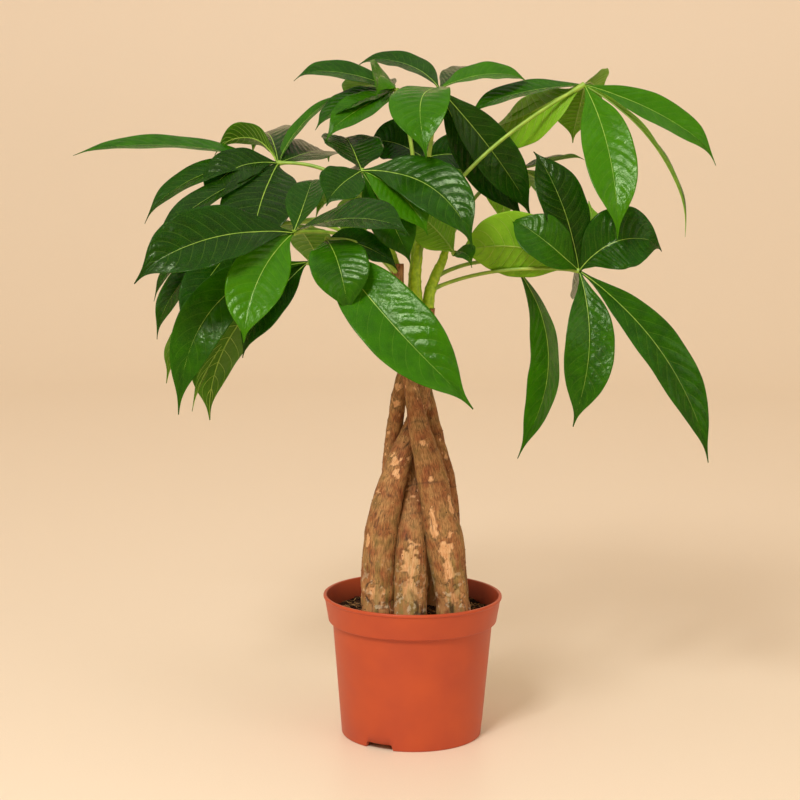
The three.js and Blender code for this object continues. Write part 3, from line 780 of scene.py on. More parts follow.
# %% Places where the bark has flaked
FLAKES = {  # height, turn to the right of the front in degrees, half height and half width
    "stem_front_right": [(285, -2, 3.7, 4.7), (253, -2, 2.8, 2.8), (211, -27, 13, 3.8), (187, -5, 7.4, 7),
                         (166, 0, 12, 5.6), (142, 6, 8.4, 10), (226, 53, 12, 3.4)],
    "stem_front_left": [(264, -15, 3.7, 4.3), (255, 7, 3.7, 3.3), (191, -53, 6.5, 2.8), (145, -4, 11, 8.4)],
    "stem_middle": [(175, 1, 14, 8.4), (149, -3, 9.3, 11)],
    "stem_back_left": [(320, -20, 3.7, 3.5), (335, -26, 3.7, 4.6), (291, -49, 1.9, 2.1)],
    "stem_back_right": [(315, -17, 4.7, 4.4), (264, 40, 2.8, 2.4), (243, 11, 2, 1.5), (281, 29, 1.9, 1.6)],
}
print("flaked places:", sum(len(places) for places in FLAKES.values()))


def flaked_share(name, height, radius, turn, ragged):
    """How far inside a flaked place each point lies: above 0 inside, below 0 outside."""
    inside = np.full(ragged.shape, -1.0)
    for place, side, tall, wide in FLAKES[name]:
        off = (np.degrees(turn)[None] - 270 - side + 180) % 360 - 180
        far = np.hypot((height - place) / tall, np.radians(off) * radius / wide)
        inside = np.maximum(inside, 1 - far + ragged)
    return inside


# %% [markdown]
# ## The braided stems
# Each stem is a closed tube with real relief: slow lumps, upright cracks, ring scars where old leaves
# fell, and shallow steps where bark has flaked. The relief is pushed along the outward
# direction by a fraction of a millimetre, and the same numbers are kept as attributes so that the
# bark material can darken the cracks and colour the flaked places.


# %% The relief of the bark
SCAR_SPACING = 0.075  # share of the stem's length


def bark_marks(name, path, up, turn, seed, around):
    """How far the bark stands out in mm, how peeled it is and how grooved, at each ring point."""
    round_share = turn[None] / (2 * math.pi)
    radius, height = path[:, 3:], path[:, 2:3]
    foot = np.clip((175 - height) / 55, 0, 1)

    def noise(cells, length, number, shift=0):
        """Noise with so many cells round the stem, each so long in millimetres."""
        return soft_noise(round_share * cells, up / length + shift, seed + number, cells)

    lumps = noise(4, 34, 0, seed * 7) * 0.05 * radius
    knobs = noise(8, 9, 6, seed * 3) * (0.35 + 0.9 * foot)
    ridges = noise(around, 16, 1, seed * 3)
    breaks = noise(5, 12, 2, seed * 5)
    groove = np.exp(-(ridges / 0.08) ** 2) * np.clip(breaks * 2 - 0.1 + 1.2 * foot, 0, 1)
    scars = 0
    for place in np.arange(0.3, 1, SCAR_SPACING) * up[-1] + seed % 5:
        wander = place + 1.2 * np.sin(turn + place) + 0.5 * np.sin(3 * turn + seed)
        strong = np.clip(0.9 + 0.8 * np.sin(turn + place), 0, 1)
        scars = scars + np.exp(-((up - wander) / 0.9) ** 2) * strong
    ragged = 0.45 * noise(16, 5, 4) + 0.3 * noise(44, 2, 7)
    inside = flaked_share(name, height, radius, turn, ragged)
    specks = noise(26, 3.4, 3) * noise(5, 21, 8)
    inside = np.maximum(inside, (specks - 0.46) * 2)
    rim = np.exp(-((inside + 0.05) / 0.09) ** 2)
    islands = np.clip(noise(30, 3, 9) * 3 - 1.2 + foot * 0.6, 0, 1) * foot
    peeled = np.clip(inside / 0.12, 0, 1) * (1 - 0.8 * islands)
    groove = groove + 0.55 * scars * (radius < 14) + 0.55 * rim + 0.5 * islands * (inside > 0)
    groove = np.clip(groove, 0, 1)
    grain = noise(2 * around, 5, 5)
    relief = 0.5 + lumps + knobs + 0.2 * grain - 0.6 * groove * np.clip(radius / 12, 0.35, 1)
    relief += 0.5 * scars * (radius < 9.5) - 0.4 * peeled
    return relief, peeled, groove


print("ring scars on a stem:", len(np.arange(0.3, 1, SCAR_SPACING)))

# %% Build the stems
CRACK_SPACING = 5  # round the foot of a stem


def woody_stem(name, rows, seed, rings=340, sides=104):
    path, along = curve_through(rows, rings)
    outward, turn = outward_rings(path, sides)
    up, radius = along[:, None], path[:, 3:]
    around = max(6, round(2 * math.pi * rows[1][3] / CRACK_SPACING))
    relief, peeled, groove = bark_marks(name, path, up, turn, seed, around)
    points = path[:, None, :3] + outward * (radius + relief)[..., None]
    straight = np.stack([radius * np.cos(turn), radius * np.sin(turn),
                         np.broadcast_to(up + seed * 900, (rings, sides))], axis=-1)
    return closed_rings(name + "_bark", points, bark, {
        "straight": straight * MM, "peeled": peeled[..., None], "groove": groove[..., None],
        "height": points[..., 2:] * MM})


stems = {}
for number, (name, rows) in enumerate(STEMS.items()):
    stem = woody_stem(name, rows, 10 + 10 * number)
    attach(stem, "root")
    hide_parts(name)
    stems[name] = stem
print("stem faces:", sum(len(stem.data.polygons) for stem in stems.values()))

# %% [markdown]
# ## Green shoots
# Above the wood the shoots are still green and soft, with faint lengthwise ridges and a raised ring
# every centimetre or so, where an old stalk has dropped off. Their skin is smooth and slightly shiny.

# %% Shoot material and plan
green_shoot, tree = empty_material("green_shoot_skin")
place = (node(tree, "ShaderNodeTexCoord"), "Object")
flecks = node(tree, "ShaderNodeTexNoise", Vector=place, Scale=1 / (3 * MM), Detail=3.0)
green = node(tree, "ShaderNodeValToRGB", [(0.3, "#84ac14"), (0.55, "#a2c822"), (0.75, "#bccf3c")], Fac=flecks)
ridged = node(tree, "ShaderNodeBump", Height=flecks, Strength=0.3, Distance=0.4 * MM)
surface = node(tree, "ShaderNodeBsdfPrincipled", Base_Color=green, Roughness=0.45, Normal=ridged)
node(tree, "ShaderNodeOutputMaterial", Surface=surface)

SHOOTS = {
    "shoot_left": [[-17, 9, 426, 5.2], [-18, 6, 440, 5.2], [-23, 2, 458, 4.6], [-29, 0, 476, 4],
                   [-33, 2, 492, 3]],
    "shoot_middle": [[2, -8, 402, 5.6], [1, -7, 416, 5.6], [0, -4, 436, 5.2], [2, -2, 458, 4.4],
                     [4, 2, 482, 3]],
    "shoot_right": [[12, 4, 405, 5.8], [13, 4, 420, 5.6], [18, 6, 436, 5], [25, 8, 452, 4.2],
                    [29, 10, 466, 3]],
    "shoot_back": [[-2, 16, 418, 5], [-2, 19, 432, 5], [-1, 26, 452, 4.4], [0, 34, 474, 4],
                   [0, 38, 490, 3]],
}
print("material:", green_shoot.name, "shoots:", len(SHOOTS))


# %% Build the shoots
RING_SPACING = 11


def shoot(name, rows, seed, rings=90, sides=40):
    path, along = curve_through(rows, rings)
    outward, turn = outward_rings(path, sides)
    radius, up = path[:, 3:], along[:, None]
    ridge = 0.05 * np.sin(turn * 9 + seed) * np.ones_like(up)
    swellings = sum(0.35 * np.exp(-((up - place) / 1.3) ** 2)
                    for place in np.arange(9, along[-1], RING_SPACING))
    uneven = 0.2 * soft_noise(turn[None] / (2 * math.pi) * 6, up / 5, seed, 6)
    ends = np.clip(up / 2.5, 0.6, 1) * np.clip((along[-1] - up) / 3, 0.45, 1) ** 0.6
    size = (radius + ridge + swellings + uneven - 0.2) * ends
    return closed_rings(name, path[:, None, :3] + outward * size[..., None], green_shoot, {})


for number, (name, rows) in enumerate(SHOOTS.items()):
    piece = shoot(name + "_skin", rows, 70 + number)
    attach(piece, "root")
    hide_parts(name)
print("shoots built:", len(SHOOTS))

# %% [markdown]
# ## Lenticels
# Lenticels are the small corky dots that let bark breathe. They sit all over the stems. They are
# scattered with the same tree as the crumbs, but flat and wider apart. Dry cork is as brown and dull
# as a dry root, so they share its material.

# %% Scatter the lenticels
lenticel_tree = scatter_tree("bark_lenticels", root_fibre)
for number, (name, stem) in enumerate(stems.items()):
    copy = bpy.data.objects.new(name + "_copy", stem.data.copy())
    bpy.context.collection.objects.link(copy)
    dots = grown(name + "_lenticels", copy, lenticel_tree, Spacing=5.5 * MM, Density=3e4,
                 Smallest=0.35 * MM, Largest=0.9 * MM, Flatness=0.35, Seed=30 + number)
    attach(dots, "root")
print("lenticels scattered on", len(stems), "stems")

# %% [markdown]
# ## Where the leaves hang
# Money-tree leaves are palmate: several leaflets meet at one hub on a long stalk. The plan has the
# same places as the measured model. A stalk bends from its start, by way of a point beside it, to the
# hub. Each leaflet row is its tip (x, y, z), the rise of its arch, its width, its roll in degrees, its
# sideways bow, and its age: 0 for a young bright leaflet, 1 for an old dark one.

# %% The plan of the leaves
WIDTH = 4  # place in a leaflet's row
AGE = 7
LEAVES = {
    "leaf_front_left": dict(start=[-22, 3, 452], via=[-60, -30, 485], hub=[-110, -70, 480], blades=[
        [-245, -130, 445, 32, 62, -50, -10, 0.9],
        [-95, -15, 530, 15, 36, -10, 5, 0.7],
        [-5, -125, 488, 25, 56, 25, 10, 0.8],
        [-150, -130, 390, 25, 52, -35, 5, 0.15]]),
    "leaf_front": dict(start=[-17, -7, 440], via=[-45, -60, 478], hub=[-80, -85, 475], blades=[
        [-58, -135, 414, 40, 52, 10, 5, 0.5],
        [50, -165, 340, 10, 64, 40, 35, 0.35],
        [-15, -60, 450, 15, 32, 50, -20, 0.7]]),
    "leaf_centre": dict(start=[-27, 1, 470], via=[-40, -15, 515], hub=[-50, -40, 535], blades=[
        [-70, 38, 570, 10, 58, 0, 0, 0.9],
        [50, -95, 475, 42, 54, 40, -10, 0.65],
        [10, -80, 482, 20, 40, 35, 0, 0.2],
        [-5, -60, 455, 5, 42, 40, 0, 0.5],
        [-80, -75, 508, 8, 42, -35, 0, 0.75],
        [-90, 10, 505, 10, 36, -30, 5, 0.8]]),
    "leaf_low_left": dict(start=[-17, -4, 428], via=[-55, 0, 445], hub=[-100, -10, 450], blades=[
        [-160, -45, 370, 15, 36, -50, -5, 0.8],
        [-213, -75, 317, 85, 46, -60, -10, 0.55],
        [-198, 33, 300, 41, 64, 33, -35, 0.9],
        [-213, 5, 312, 30, 28, 25, 5, 0.9],
        [-242, 56, 331, 44, 58, 2, -35, 0.5]]),
    "leaf_left": dict(start=[-31, 1, 484], via=[-95, 20, 500], hub=[-165, 30, 470], blades=[
        [-245, -10, 415, 35, 26, -10, -5, 0.8],
        [-245, 0, 380, 30, 32, -30, -5, 0.8],
        [-217, -46, 396, 12, 40, -35, -10, 0.8],
        [-215, 130, 420, 30, 48, 0, 0, 0.6]]),
    "leaf_high_left": dict(start=[-33, 2, 490], via=[-70, 20, 545], hub=[-130, 30, 540], blades=[
        [-325, 40, 550, 24, 34, -20, 10, 0.45],
        [-255, 0, 490, 34, 34, -30, 0, 0.8],
        [-240, -45, 472, 15, 34, -20, -5, 0.9],
        [-195, 60, 555, 35, 40, 35, 20, 0.85],
        [-165, 150, 555, 45, 52, -5, 5, 0.9],
        [-195, -5, 505, 30, 44, -40, 5, 0.9],
        [-70, 70, 610, 0, 20, 0, -34, 0.4],
        [-85, 130, 550, 15, 46, 20, 15, 0.8],
        [-150, -60, 460, 20, 72, -10, 0, 1.0]]),
    "leaf_top": dict(start=[3, 1, 478], via=[12, 5, 560], hub=[20, 10, 610], blades=[
        [8, -78, 551, 42, 56, 10, 24, 0.3],
        [105, 35, 622, 18, 36, 25, -5, 0.25],
        [65, 110, 635, 10, 32, 5, 0, 0.8],
        [110, 30, 495, 10, 42, 90, 0, 0.85],
        [105, 60, 490, 5, 46, 95, -35, 0.95],
        [-60, 70, 640, 18, 31, -20, 30, 0.7]]),
    "leaf_top_left": dict(start=[0, 34, 474], via=[2, 35, 560], hub=[-20, 50, 610], blades=[
        [-115, 20, 625, 15, 32, -35, -5, 0.6],
        [-35, 0, 605, 30, 34, -50, 10, 0.1],
        [-95, 0, 575, 15, 38, -20, 0, 0.6],
        [-85, -15, 568, 10, 36, -30, -10, 0.4],
        [-70, 140, 600, 25, 44, 0, 0, 0.5]]),
    "leaf_high_right": dict(start=[1, -4, 438], via=[5, -10, 530], hub=[155, 20, 615], blades=[
        [181, -60, 482, 25, 47, 35, 0, 0.1],
        [280, 0, 551, 18, 37, 45, 0, 0.2],
        [253, -25, 483, 42, 32, -10, 15, 0.3],
        [45, 20, 590, 14, 36, -25, 15, 0.5],
        [75, 80, 575, 0, 34, 0, 15, 0.3],
        [75, 90, 575, -20, 60, 114, -35, 0.2],
        [150, 80, 570, 0, 44, -5, 0, 0.3],
        [180, 120, 610, 15, 40, -30, -5, 0.2]]),
    "leaf_right": dict(start=[14, 5, 424], via=[70, -10, 452], hub=[150, -20, 445], blades=[
        [85, -20, 495, 5, 46, -65, -30, 0.5],
        [108, 0, 556, 20, 46, -35, -6, 0.95],
        [230, -20, 470, 35, 62, 65, 20, 0.75],
        [165, 70, 505, -10, 44, -150, 15, 0.3],
        [270, -60, 276, 42, 44, 50, 5, 0.6],
        [143, -60, 309, 30, 46, 15, -15, 0.55],
        [150, 90, 420, 5, 40, -90, 10, 0.5],
        [36, -16, 461, 28, 64, 75, 0, 0.2]]),
    "leaf_low_right": dict(start=[18, 6, 436], via=[60, 25, 458], hub=[95, 30, 445], blades=[
        [95, 0, 270, 52, 46, 105, -30, 0.45],
        [150, 130, 455, 25, 44, 0, 0, 0.6],
        [60, 130, 450, 25, 44, 0, 0, 0.6]]),
    "leaf_middle_right": dict(start=[27, 9, 460], via=[30, -5, 466], hub=[35, -20, 460], blades=[
        [-5, -25, 500, 5, 40, 100, 0, 0.4],
        [50, -45, 455, 10, 22, 30, 0, 0.3]]),
    "leaf_behind_top": dict(start=[-1, 30, 463], via=[18, 55, 515], hub=[8, 75, 545], blades=[
        [-48, 90, 562, 14, 52, -45, 0, 0.9],
        [70, 90, 530, 25, 50, 45, 0, 0.9],
        [30, 185, 550, 30, 46, 0, 0, 0.7],
        [-35, 170, 555, 30, 46, 0, 0, 0.6]]),
    "leaf_back": dict(start=[-1, 25, 450], via=[-15, 90, 520], hub=[-30, 140, 515], blades=[
        [-105, 195, 490, 25, 48, 0, 0, 0.5],
        [-70, 250, 450, 30, 52, 0, 0, 0.4],
        [10, 260, 450, 30, 52, 0, 0, 0.6],
        [60, 200, 465, 25, 46, 0, 0, 0.5]]),
    "leaf_back_right": dict(start=[29, 10, 464], via=[55, 60, 525], hub=[100, 110, 535], blades=[
        [165, 110, 550, 5, 40, 0, 0, 0.8],
        [90, 225, 480, 30, 50, 0, 0, 0.3],
        [160, 200, 475, 30, 50, 0, 0, 0.6],
        [35, 165, 520, 20, 42, 0, 0, 0.7]]),
    "leaf_back_left": dict(start=[-18, 8, 438], via=[-70, 70, 490], hub=[-120, 115, 480], blades=[
        [-205, 185, 445, 30, 52, 0, 0, 0.7],
        [-155, 230, 440, 30, 50, 0, 0, 0.5],
        [-95, 205, 425, 20, 46, 0, 0, 0.6],
        [-225, 95, 455, 20, 46, 0, 0, 0.8]]),
}
print("leaves:", len(LEAVES), "leaflets:", sum(len(leaf["blades"]) for leaf in LEAVES.values()))

# %% [markdown]
# ## Leaf blades
# A leaflet's upper face is waxy: rich green with a clear gloss, paler along its veins. Its under
# side is duller, paler and yellower. Young leaflets are bright, old ones deep green, so each leaflet
# carries its age as an attribute. A blade is only about a quarter of a millimetre thick and glows a
# little when lit from behind, which a small share of subsurface light gives. Leaf wax has an IOR
# near 1.45; it is set lower here, because fine dust and wrinkles take part of the shine away.
# The side veins are drawn from the leaflet's own UV map, with the same slant and curve as in its shape.


# %% Side veins as a pattern
SIDE_VEINS = 13  # on each side of the midrib
VEIN_SLANT = 0.115  # how far a vein runs forward on its way to the margin, as shares of the length
VEIN_CURVE = 0.06


def vein_lines(tree):
    """1 on the side veins and 0 between them."""
    surface_map = node(tree, "ShaderNodeUVMap", uv_map="surface")
    split = node(tree, "ShaderNodeSeparateXYZ", Vector=surface_map)
    sideways = node(tree, "ShaderNodeMath", operation="MULTIPLY_ADD", i0=(split, "X"), i1=2.0, i2=-1.0)
    reach = node(tree, "ShaderNodeMath", operation="ABSOLUTE", i0=sideways)
    cube = node(tree, "ShaderNodeMath", operation="POWER", i0=reach, i1=3.0)
    slanted = node(tree, "ShaderNodeMath", operation="MULTIPLY_ADD", i0=reach, i1=-VEIN_SLANT,
                   i2=(split, "Y"))
    bent = node(tree, "ShaderNodeMath", operation="MULTIPLY_ADD", i0=cube, i1=-VEIN_CURVE, i2=slanted)
    counted = node(tree, "ShaderNodeMath", operation="MULTIPLY_ADD", i0=bent, i1=float(SIDE_VEINS), i2=4.0)
    part = node(tree, "ShaderNodeMath", operation="FRACT", i0=counted)
    centred = node(tree, "ShaderNodeMath", operation="SUBTRACT", i0=part, i1=0.5)
    near = node(tree, "ShaderNodeMath", operation="ABSOLUTE", i0=centred)
    line = node(tree, "ShaderNodeMapRange", interpolation_type="SMOOTHSTEP", Value=near, From_Min=0.455,
                From_Max=0.5)
    fade = node(tree, "ShaderNodeMapRange", Value=reach, From_Min=0.55, From_Max=0.98, To_Min=1.0,
                To_Max=0.15)
    return node(tree, "ShaderNodeMath", operation="MULTIPLY", i0=line, i1=fade)


print("side veins on each side:", SIDE_VEINS)


# %% Leaf materials
def blade_material(name, young, old, vein, roughness, vein_share, vein_height):
    made, tree = empty_material(name)
    age = (node(tree, "ShaderNodeAttribute", attribute_name="age"), "Fac")
    flat = (node(tree, "ShaderNodeAttribute", attribute_name="flat"), "Vector")
    blotch = node(tree, "ShaderNodeTexNoise", Vector=flat, Scale=1 / (14 * MM), Detail=3.0)
    net = node(tree, "ShaderNodeTexVoronoi", feature="DISTANCE_TO_EDGE", Vector=flat, Scale=1 / (1.7 * MM))
    wrinkles = node(tree, "ShaderNodeTexNoise", Vector=flat, Scale=1 / (7 * MM), Detail=3.0)
    older = node(tree, "ShaderNodeMath", operation="SUBTRACT", i0=age, i1=0.25)
    tint = node(tree, "ShaderNodeMath", operation="MULTIPLY_ADD", i0=blotch, i1=0.5, i2=older)
    green = node(tree, "ShaderNodeValToRGB", Fac=tint, stops=[
        (0.0, young[0]), (0.35, young[1]), (0.65, old[0]), (1.0, old[1])])
    meshes = node(tree, "ShaderNodeValToRGB", [(0.0, 1.0), (0.12, 0.0)], Fac=net)
    faint = node(tree, "ShaderNodeMath", operation="MULTIPLY", i0=meshes, i1=0.1)
    netted = node(tree, "ShaderNodeMix", data_type="RGBA", Factor=faint, A=green, B=linear(vein))
    veins = vein_lines(tree)
    pale = node(tree, "ShaderNodeMath", operation="MULTIPLY", i0=veins, i1=vein_share)
    veined = node(tree, "ShaderNodeMix", data_type="RGBA", Factor=pale, A=netted, B=linear(vein))
    gloss = node(tree, "ShaderNodeValToRGB", [(0.3, roughness - 0.05), (0.7, roughness + 0.06)], Fac=blotch)
    relief = node(tree, "ShaderNodeMath", operation="MULTIPLY_ADD", i0=veins, i1=vein_height, i2=net)
    ribbed = node(tree, "ShaderNodeBump", Height=relief, Strength=0.18, Distance=0.35 * MM)
    creased = node(tree, "ShaderNodeBump", Height=wrinkles, Strength=0.55, Distance=1.4 * MM, Normal=ribbed)
    surface = node(tree, "ShaderNodeBsdfPrincipled", Base_Color=veined, Roughness=gloss, Normal=creased,
                   IOR=1.27, Specular_Tint=linear("#eeffd0"), Subsurface_Weight=0.18,
                   Subsurface_Radius=(0.5, 1.0, 0.15), Subsurface_Scale=1.6 * MM)
    node(tree, "ShaderNodeOutputMaterial", Surface=surface)
    return made


blade_upper = blade_material("waxy_leaf_blade_upper", ("#3a7302", "#2b5f02"), ("#163e04", "#0b2702"),
                             "#6f9a2c", roughness=0.21, vein_share=0.2, vein_height=-0.7)
blade_under = blade_material("leaf_blade_under_side", ("#7aa820", "#69991a"), ("#4c7c14", "#3b6610"),
                             "#9cb544", roughness=0.46, vein_share=0.5, vein_height=0.9)
print("materials:", blade_upper.name, blade_under.name)

# %% [markdown]
# ## The shape of a leaflet
# A leaflet hangs on an arched midrib. Across it the blade rises in a shallow fold. Its skin is quilted:
# it swells up between the side veins, and its margin is gently waved. All of that is one height
# field over the leaflet's length and width, so each leaflet is a grid of points bent into place.
# Each four-cornered patch is cut into two triangles along the way the side veins run, alike on the
# upper and the under face, so that the two thin faces never cross.


# %% The midrib and its directions
def leaflet_frame(hub, blade):
    """The midrib's three control points and the direction that the upper face looks in."""
    x, y, z, rise, _, roll, bow, _ = blade
    start, tip = np.array(hub, dtype=float), np.array([x, y, z], dtype=float)
    chord = tip - start
    length = np.linalg.norm(chord)
    forward = chord / length
    outwards = unit(np.array([start[0], start[1], 0]))
    level = unit(np.array([chord[0], chord[1], 0]) + outwards * 0.15 * length)
    up = np.array([0, 0, math.hypot(chord[0], chord[1]) / length]) - level * forward[2]
    up = unit(up - forward * up.dot(forward))
    across = np.cross(forward, up)
    middle = (start + tip) / 2 + up * rise + across * bow
    turn = math.radians(roll)
    return (start, middle, tip), up * math.cos(turn) + across * math.sin(turn)


def smooth_through(knots, places):
    """A smooth curve through rows of numbers (first column: place, ascending)."""
    knots = np.asarray(knots, dtype=float)
    x, y = knots[:, 0], knots[:, 1:]
    steps = np.diff(x)[:, None]
    slopes = np.diff(y, axis=0) / steps
    before, after = slopes[:-1], slopes[1:]
    middle = np.where(before * after > 0, 2 * before * after / (before + after + 1e-12), 0)
    tangents = np.vstack([slopes[:1], middle, slopes[-1:]])
    i = np.clip(np.searchsorted(x, places, side="right") - 1, 0, len(x) - 2)
    h = steps[i]
    s = ((places - x[i])[:, None]) / h
    return ((1 + 2 * s) * (1 - s) ** 2 * y[i] + s * (1 - s) ** 2 * h * tangents[i]
            + s * s * (3 - 2 * s) * y[i + 1] + s * s * (s - 1) * h * tangents[i + 1])


print("leaflet frame ready")

# %% The surface of a leaflet
OUTLINE = [[0, 0.05], [0.05, 0.1], [0.12, 0.28], [0.25, 0.69], [0.36, 0.89], [0.47, 0.98], [0.57, 0.99],
           [0.67, 0.92], [0.77, 0.73], [0.85, 0.45], [0.905, 0.21], [0.94, 0.095], [0.97, 0.045], [1, 0.018]]
FOLD = 0.205  # rise of the margin over the midrib, as a share of the half width
PUFF = 0.0135  # these three are shares of the width
WAVE = 0.014
SINK = 0.036
VALLEY = 0.3  # depth of the groove over the midrib, in mm
DROOP_START = 0.78


def leaflet_surface(hub, blade, seed):
    """Returns a function that gives the point at a place along (0..1), across (-1..1) and above (mm)."""
    (start, middle, tip), facing = leaflet_frame(hub, blade)
    width = blade[WIDTH]
    rng = np.random.default_rng(seed)
    wave_start, wave_turns = rng.uniform(0, 6.28), rng.uniform(2.6, 4.2)
    lean = math.radians(rng.uniform(-9, 9))
    droop_size = rng.uniform(3, 10)

    def surface(t, s, above):
        t1 = t[..., None]
        centre = (1 - t1) ** 2 * start + 2 * t1 * (1 - t1) * middle + t1 ** 2 * tip
        tangent = unit((1 - t1) * (middle - start) + t1 * (tip - middle))
        square = unit(facing - tangent * (tangent * facing).sum(axis=-1, keepdims=True))
        beside = np.cross(tangent, square)
        tilt = (lean * np.sin(math.pi * (t - 0.5)))[..., None]
        normal = square * np.cos(tilt) + beside * np.sin(tilt)
        side = beside * np.cos(tilt) - square * np.sin(tilt)
        droop = (droop_size * np.clip((t - DROOP_START) / (1 - DROOP_START), 0, 1) ** 2)[..., None]
        centre = centre - normal * droop * 0.8 - np.array([0, 0, 1.0]) * droop * 0.5
        share = smooth_through(OUTLINE, t.ravel())[:, 0].reshape(t.shape)
        half = np.maximum(share * width / 2, 0.45)
        body = np.clip(share * 1.6, 0, 1)
        reach = np.abs(s)
        phase = (t - VEIN_SLANT * reach - VEIN_CURVE * reach ** 3) * SIDE_VEINS
        uneven = 1 + 0.45 * soft_noise(phase / 1.6 + 60, reach * 2.3 + 9 * (s > 0), seed)
        quilt = np.abs(np.sin(math.pi * phase)) ** 0.8 * np.sin(math.pi * np.clip(reach, 0, 1) ** 0.8)
        ripple = reach ** 3 * np.sin(2 * math.pi * wave_turns * t + wave_start + 1.7 * np.sign(s))
        valley = -VALLEY * np.exp(-(reach * half) ** 2)
        height = FOLD * half * reach ** 1.25 + (PUFF * uneven * quilt + WAVE * ripple - SINK) * width * body
        height = height + valley + above
        return centre + side * (s * half)[..., None] + normal * height[..., None]

    return surface


print("points in the outline of a leaflet:", len(OUTLINE))

# %% The mesh of a leaflet
STATIONS = 66  # along
ACROSS = np.sin(np.linspace(-0.5, 0.5, 23) * math.pi) * 0.35 + np.linspace(-1, 1, 23) * 0.65
THICKNESS = 0.28


def leaflet(hub, blade, seed):
    """Points, faces, UVs, flat places and the face materials of one closed leaflet."""
    surface = leaflet_surface(hub, blade, seed)
    along = np.linspace(0, 1, STATIONS) ** 0.96
    t, s = np.meshgrid(along, ACROSS, indexing="ij")
    thick = THICKNESS * (1 - 0.55 * np.abs(s) ** 3)
    upper, under = surface(t, s, thick / 2), surface(t, s, -thick / 2)
    points = np.concatenate([upper, under[:, ::-1]], axis=1).reshape(-1, 3)
    s, t = np.concatenate([s, s[:, ::-1]], axis=1), np.concatenate([t, t], axis=1)
    columns = 2 * len(ACROSS)
    quads = grid_faces(STATIONS, columns, wrap=True)
    veinward = np.tile(np.abs(s[0]) < np.abs(np.roll(s[0], -1)), STATIONS - 1)
    looks = np.zeros((STATIONS - 1, columns), dtype=int)
    looks[:, len(ACROSS):columns - 1] = 1
    i = np.arange(len(ACROSS) - 1)
    last = (STATIONS - 1) * columns
    first_cap = np.stack([i, columns - 1 - i, columns - 2 - i, i + 1], -1)
    last_cap = np.stack([last + i, last + i + 1, last + columns - 2 - i, last + columns - 1 - i], -1)
    quads = np.vstack([quads, first_cap, last_cap])
    veinward = np.concatenate([veinward, np.ones(2 * len(i), dtype=bool)])
    quads = np.where(veinward[:, None], quads, np.roll(quads, -1, axis=1))
    faces = np.vstack([quads[:, [0, 1, 2]], quads[:, [0, 2, 3]]])
    looks = np.tile(np.concatenate([looks.ravel(), np.zeros(2 * len(i), dtype=int)]), 2)
    a, b, c = (points[faces[:, k]] for k in range(3))
    if (a * np.cross(b, c)).sum() < 0:
        faces = faces[:, ::-1]
    length = np.linalg.norm(np.array(blade[:3]) - np.array(hub))
    uv = np.stack([0.5 + 0.5 * s, t], axis=-1).reshape(-1, 2)
    flat = np.stack([s * blade[WIDTH] / 2, t * length, np.full_like(s, seed * 50)], -1).reshape(-1, 3)
    return points, faces, uv, flat * MM, looks


print("leaflet grid:", STATIONS, "by", len(ACROSS))

# %% [markdown]
# ## Veins, midribs and stalks
# The midrib stands out on both faces and the side veins stand out beneath, arching forward to the
# margin. They are laid out as thin lines on the leaflet's own surface, so that they follow its
# folds, and the tube tree turns the lines into tapered tubes. The stalk with its swollen ends is one
# more line. All of them are yellower than the blade, and less shiny than its upper face.

# %% Stalk and vein material
leaf_stalk, tree = empty_material("leaf_stalk_and_midrib")
place = (node(tree, "ShaderNodeTexCoord"), "Object")
flecks = node(tree, "ShaderNodeTexNoise", Vector=place, Scale=1 / (9 * MM), Detail=2.0)
green = node(tree, "ShaderNodeValToRGB", [(0.3, "#7ba32a"), (0.6, "#95b63c"), (0.75, "#abc54e")], Fac=flecks)
surface = node(tree, "ShaderNodeBsdfPrincipled", Base_Color=green, Roughness=0.42)
node(tree, "ShaderNodeOutputMaterial", Surface=surface)
rib_tree = tube_tree("stalks_and_veins", leaf_stalk, 6)
print("material:", leaf_stalk.name)


# %% Vein and stalk lines
STALK_RADIUS = 1.7
MIDRIB_RADIUS = 0.85
VEIN_RADIUS = 0.26


def vein_wires(hub, blade, seed):
    surface = leaflet_surface(hub, blade, seed)
    width = blade[WIDTH]
    t = np.linspace(0, 0.985, 26)
    thick = MIDRIB_RADIUS * (1 - t) ** 0.8 * (0.5 + width / 120) + 0.18
    lines = [(surface(t, np.zeros_like(t), 0.02 - 0.5 * thick), thick)]
    reach = np.linspace(0.02, 0.93, 10)
    for vein in range(SIDE_VEINS):
        for side in (-1, 1):
            place = vein / SIDE_VEINS + VEIN_SLANT * reach + VEIN_CURVE * reach ** 3
            keep = (place < 0.94) & (place > 0.04)
            if keep.sum() > 2:
                radii = (VEIN_RADIUS * (1 - 0.75 * reach) * (0.6 + width / 130))[keep]
                lines.append((surface(place[keep], side * reach[keep], -0.16 - 0.6 * radii), radii))
    return lines


def stalk_wires(leaf):
    start, via, hub = (np.array(leaf[key], dtype=float) for key in ("start", "via", "hub"))
    t = np.linspace(0, 1, 40)[:, None]
    path = (1 - t) ** 2 * start + 2 * t * (1 - t) * via + t ** 2 * hub
    t = t[:, 0]
    swollen = 1.3 * np.exp(-(t / 0.05) ** 2) + 1.5 * np.exp(-((1 - t) / 0.03) ** 2)
    return [(path, STALK_RADIUS * (1.25 - 0.25 * t) + swollen)]


print("lines for a stalk:", len(stalk_wires(LEAVES["leaf_top"])))

# %% [markdown]
# ## Put the leaves together
# The leaflets of one leaf become one mesh with two materials, for the upper and the under face, and
# its stalk, midribs and veins become a second one. A seed that counts the leaflets makes each differ.

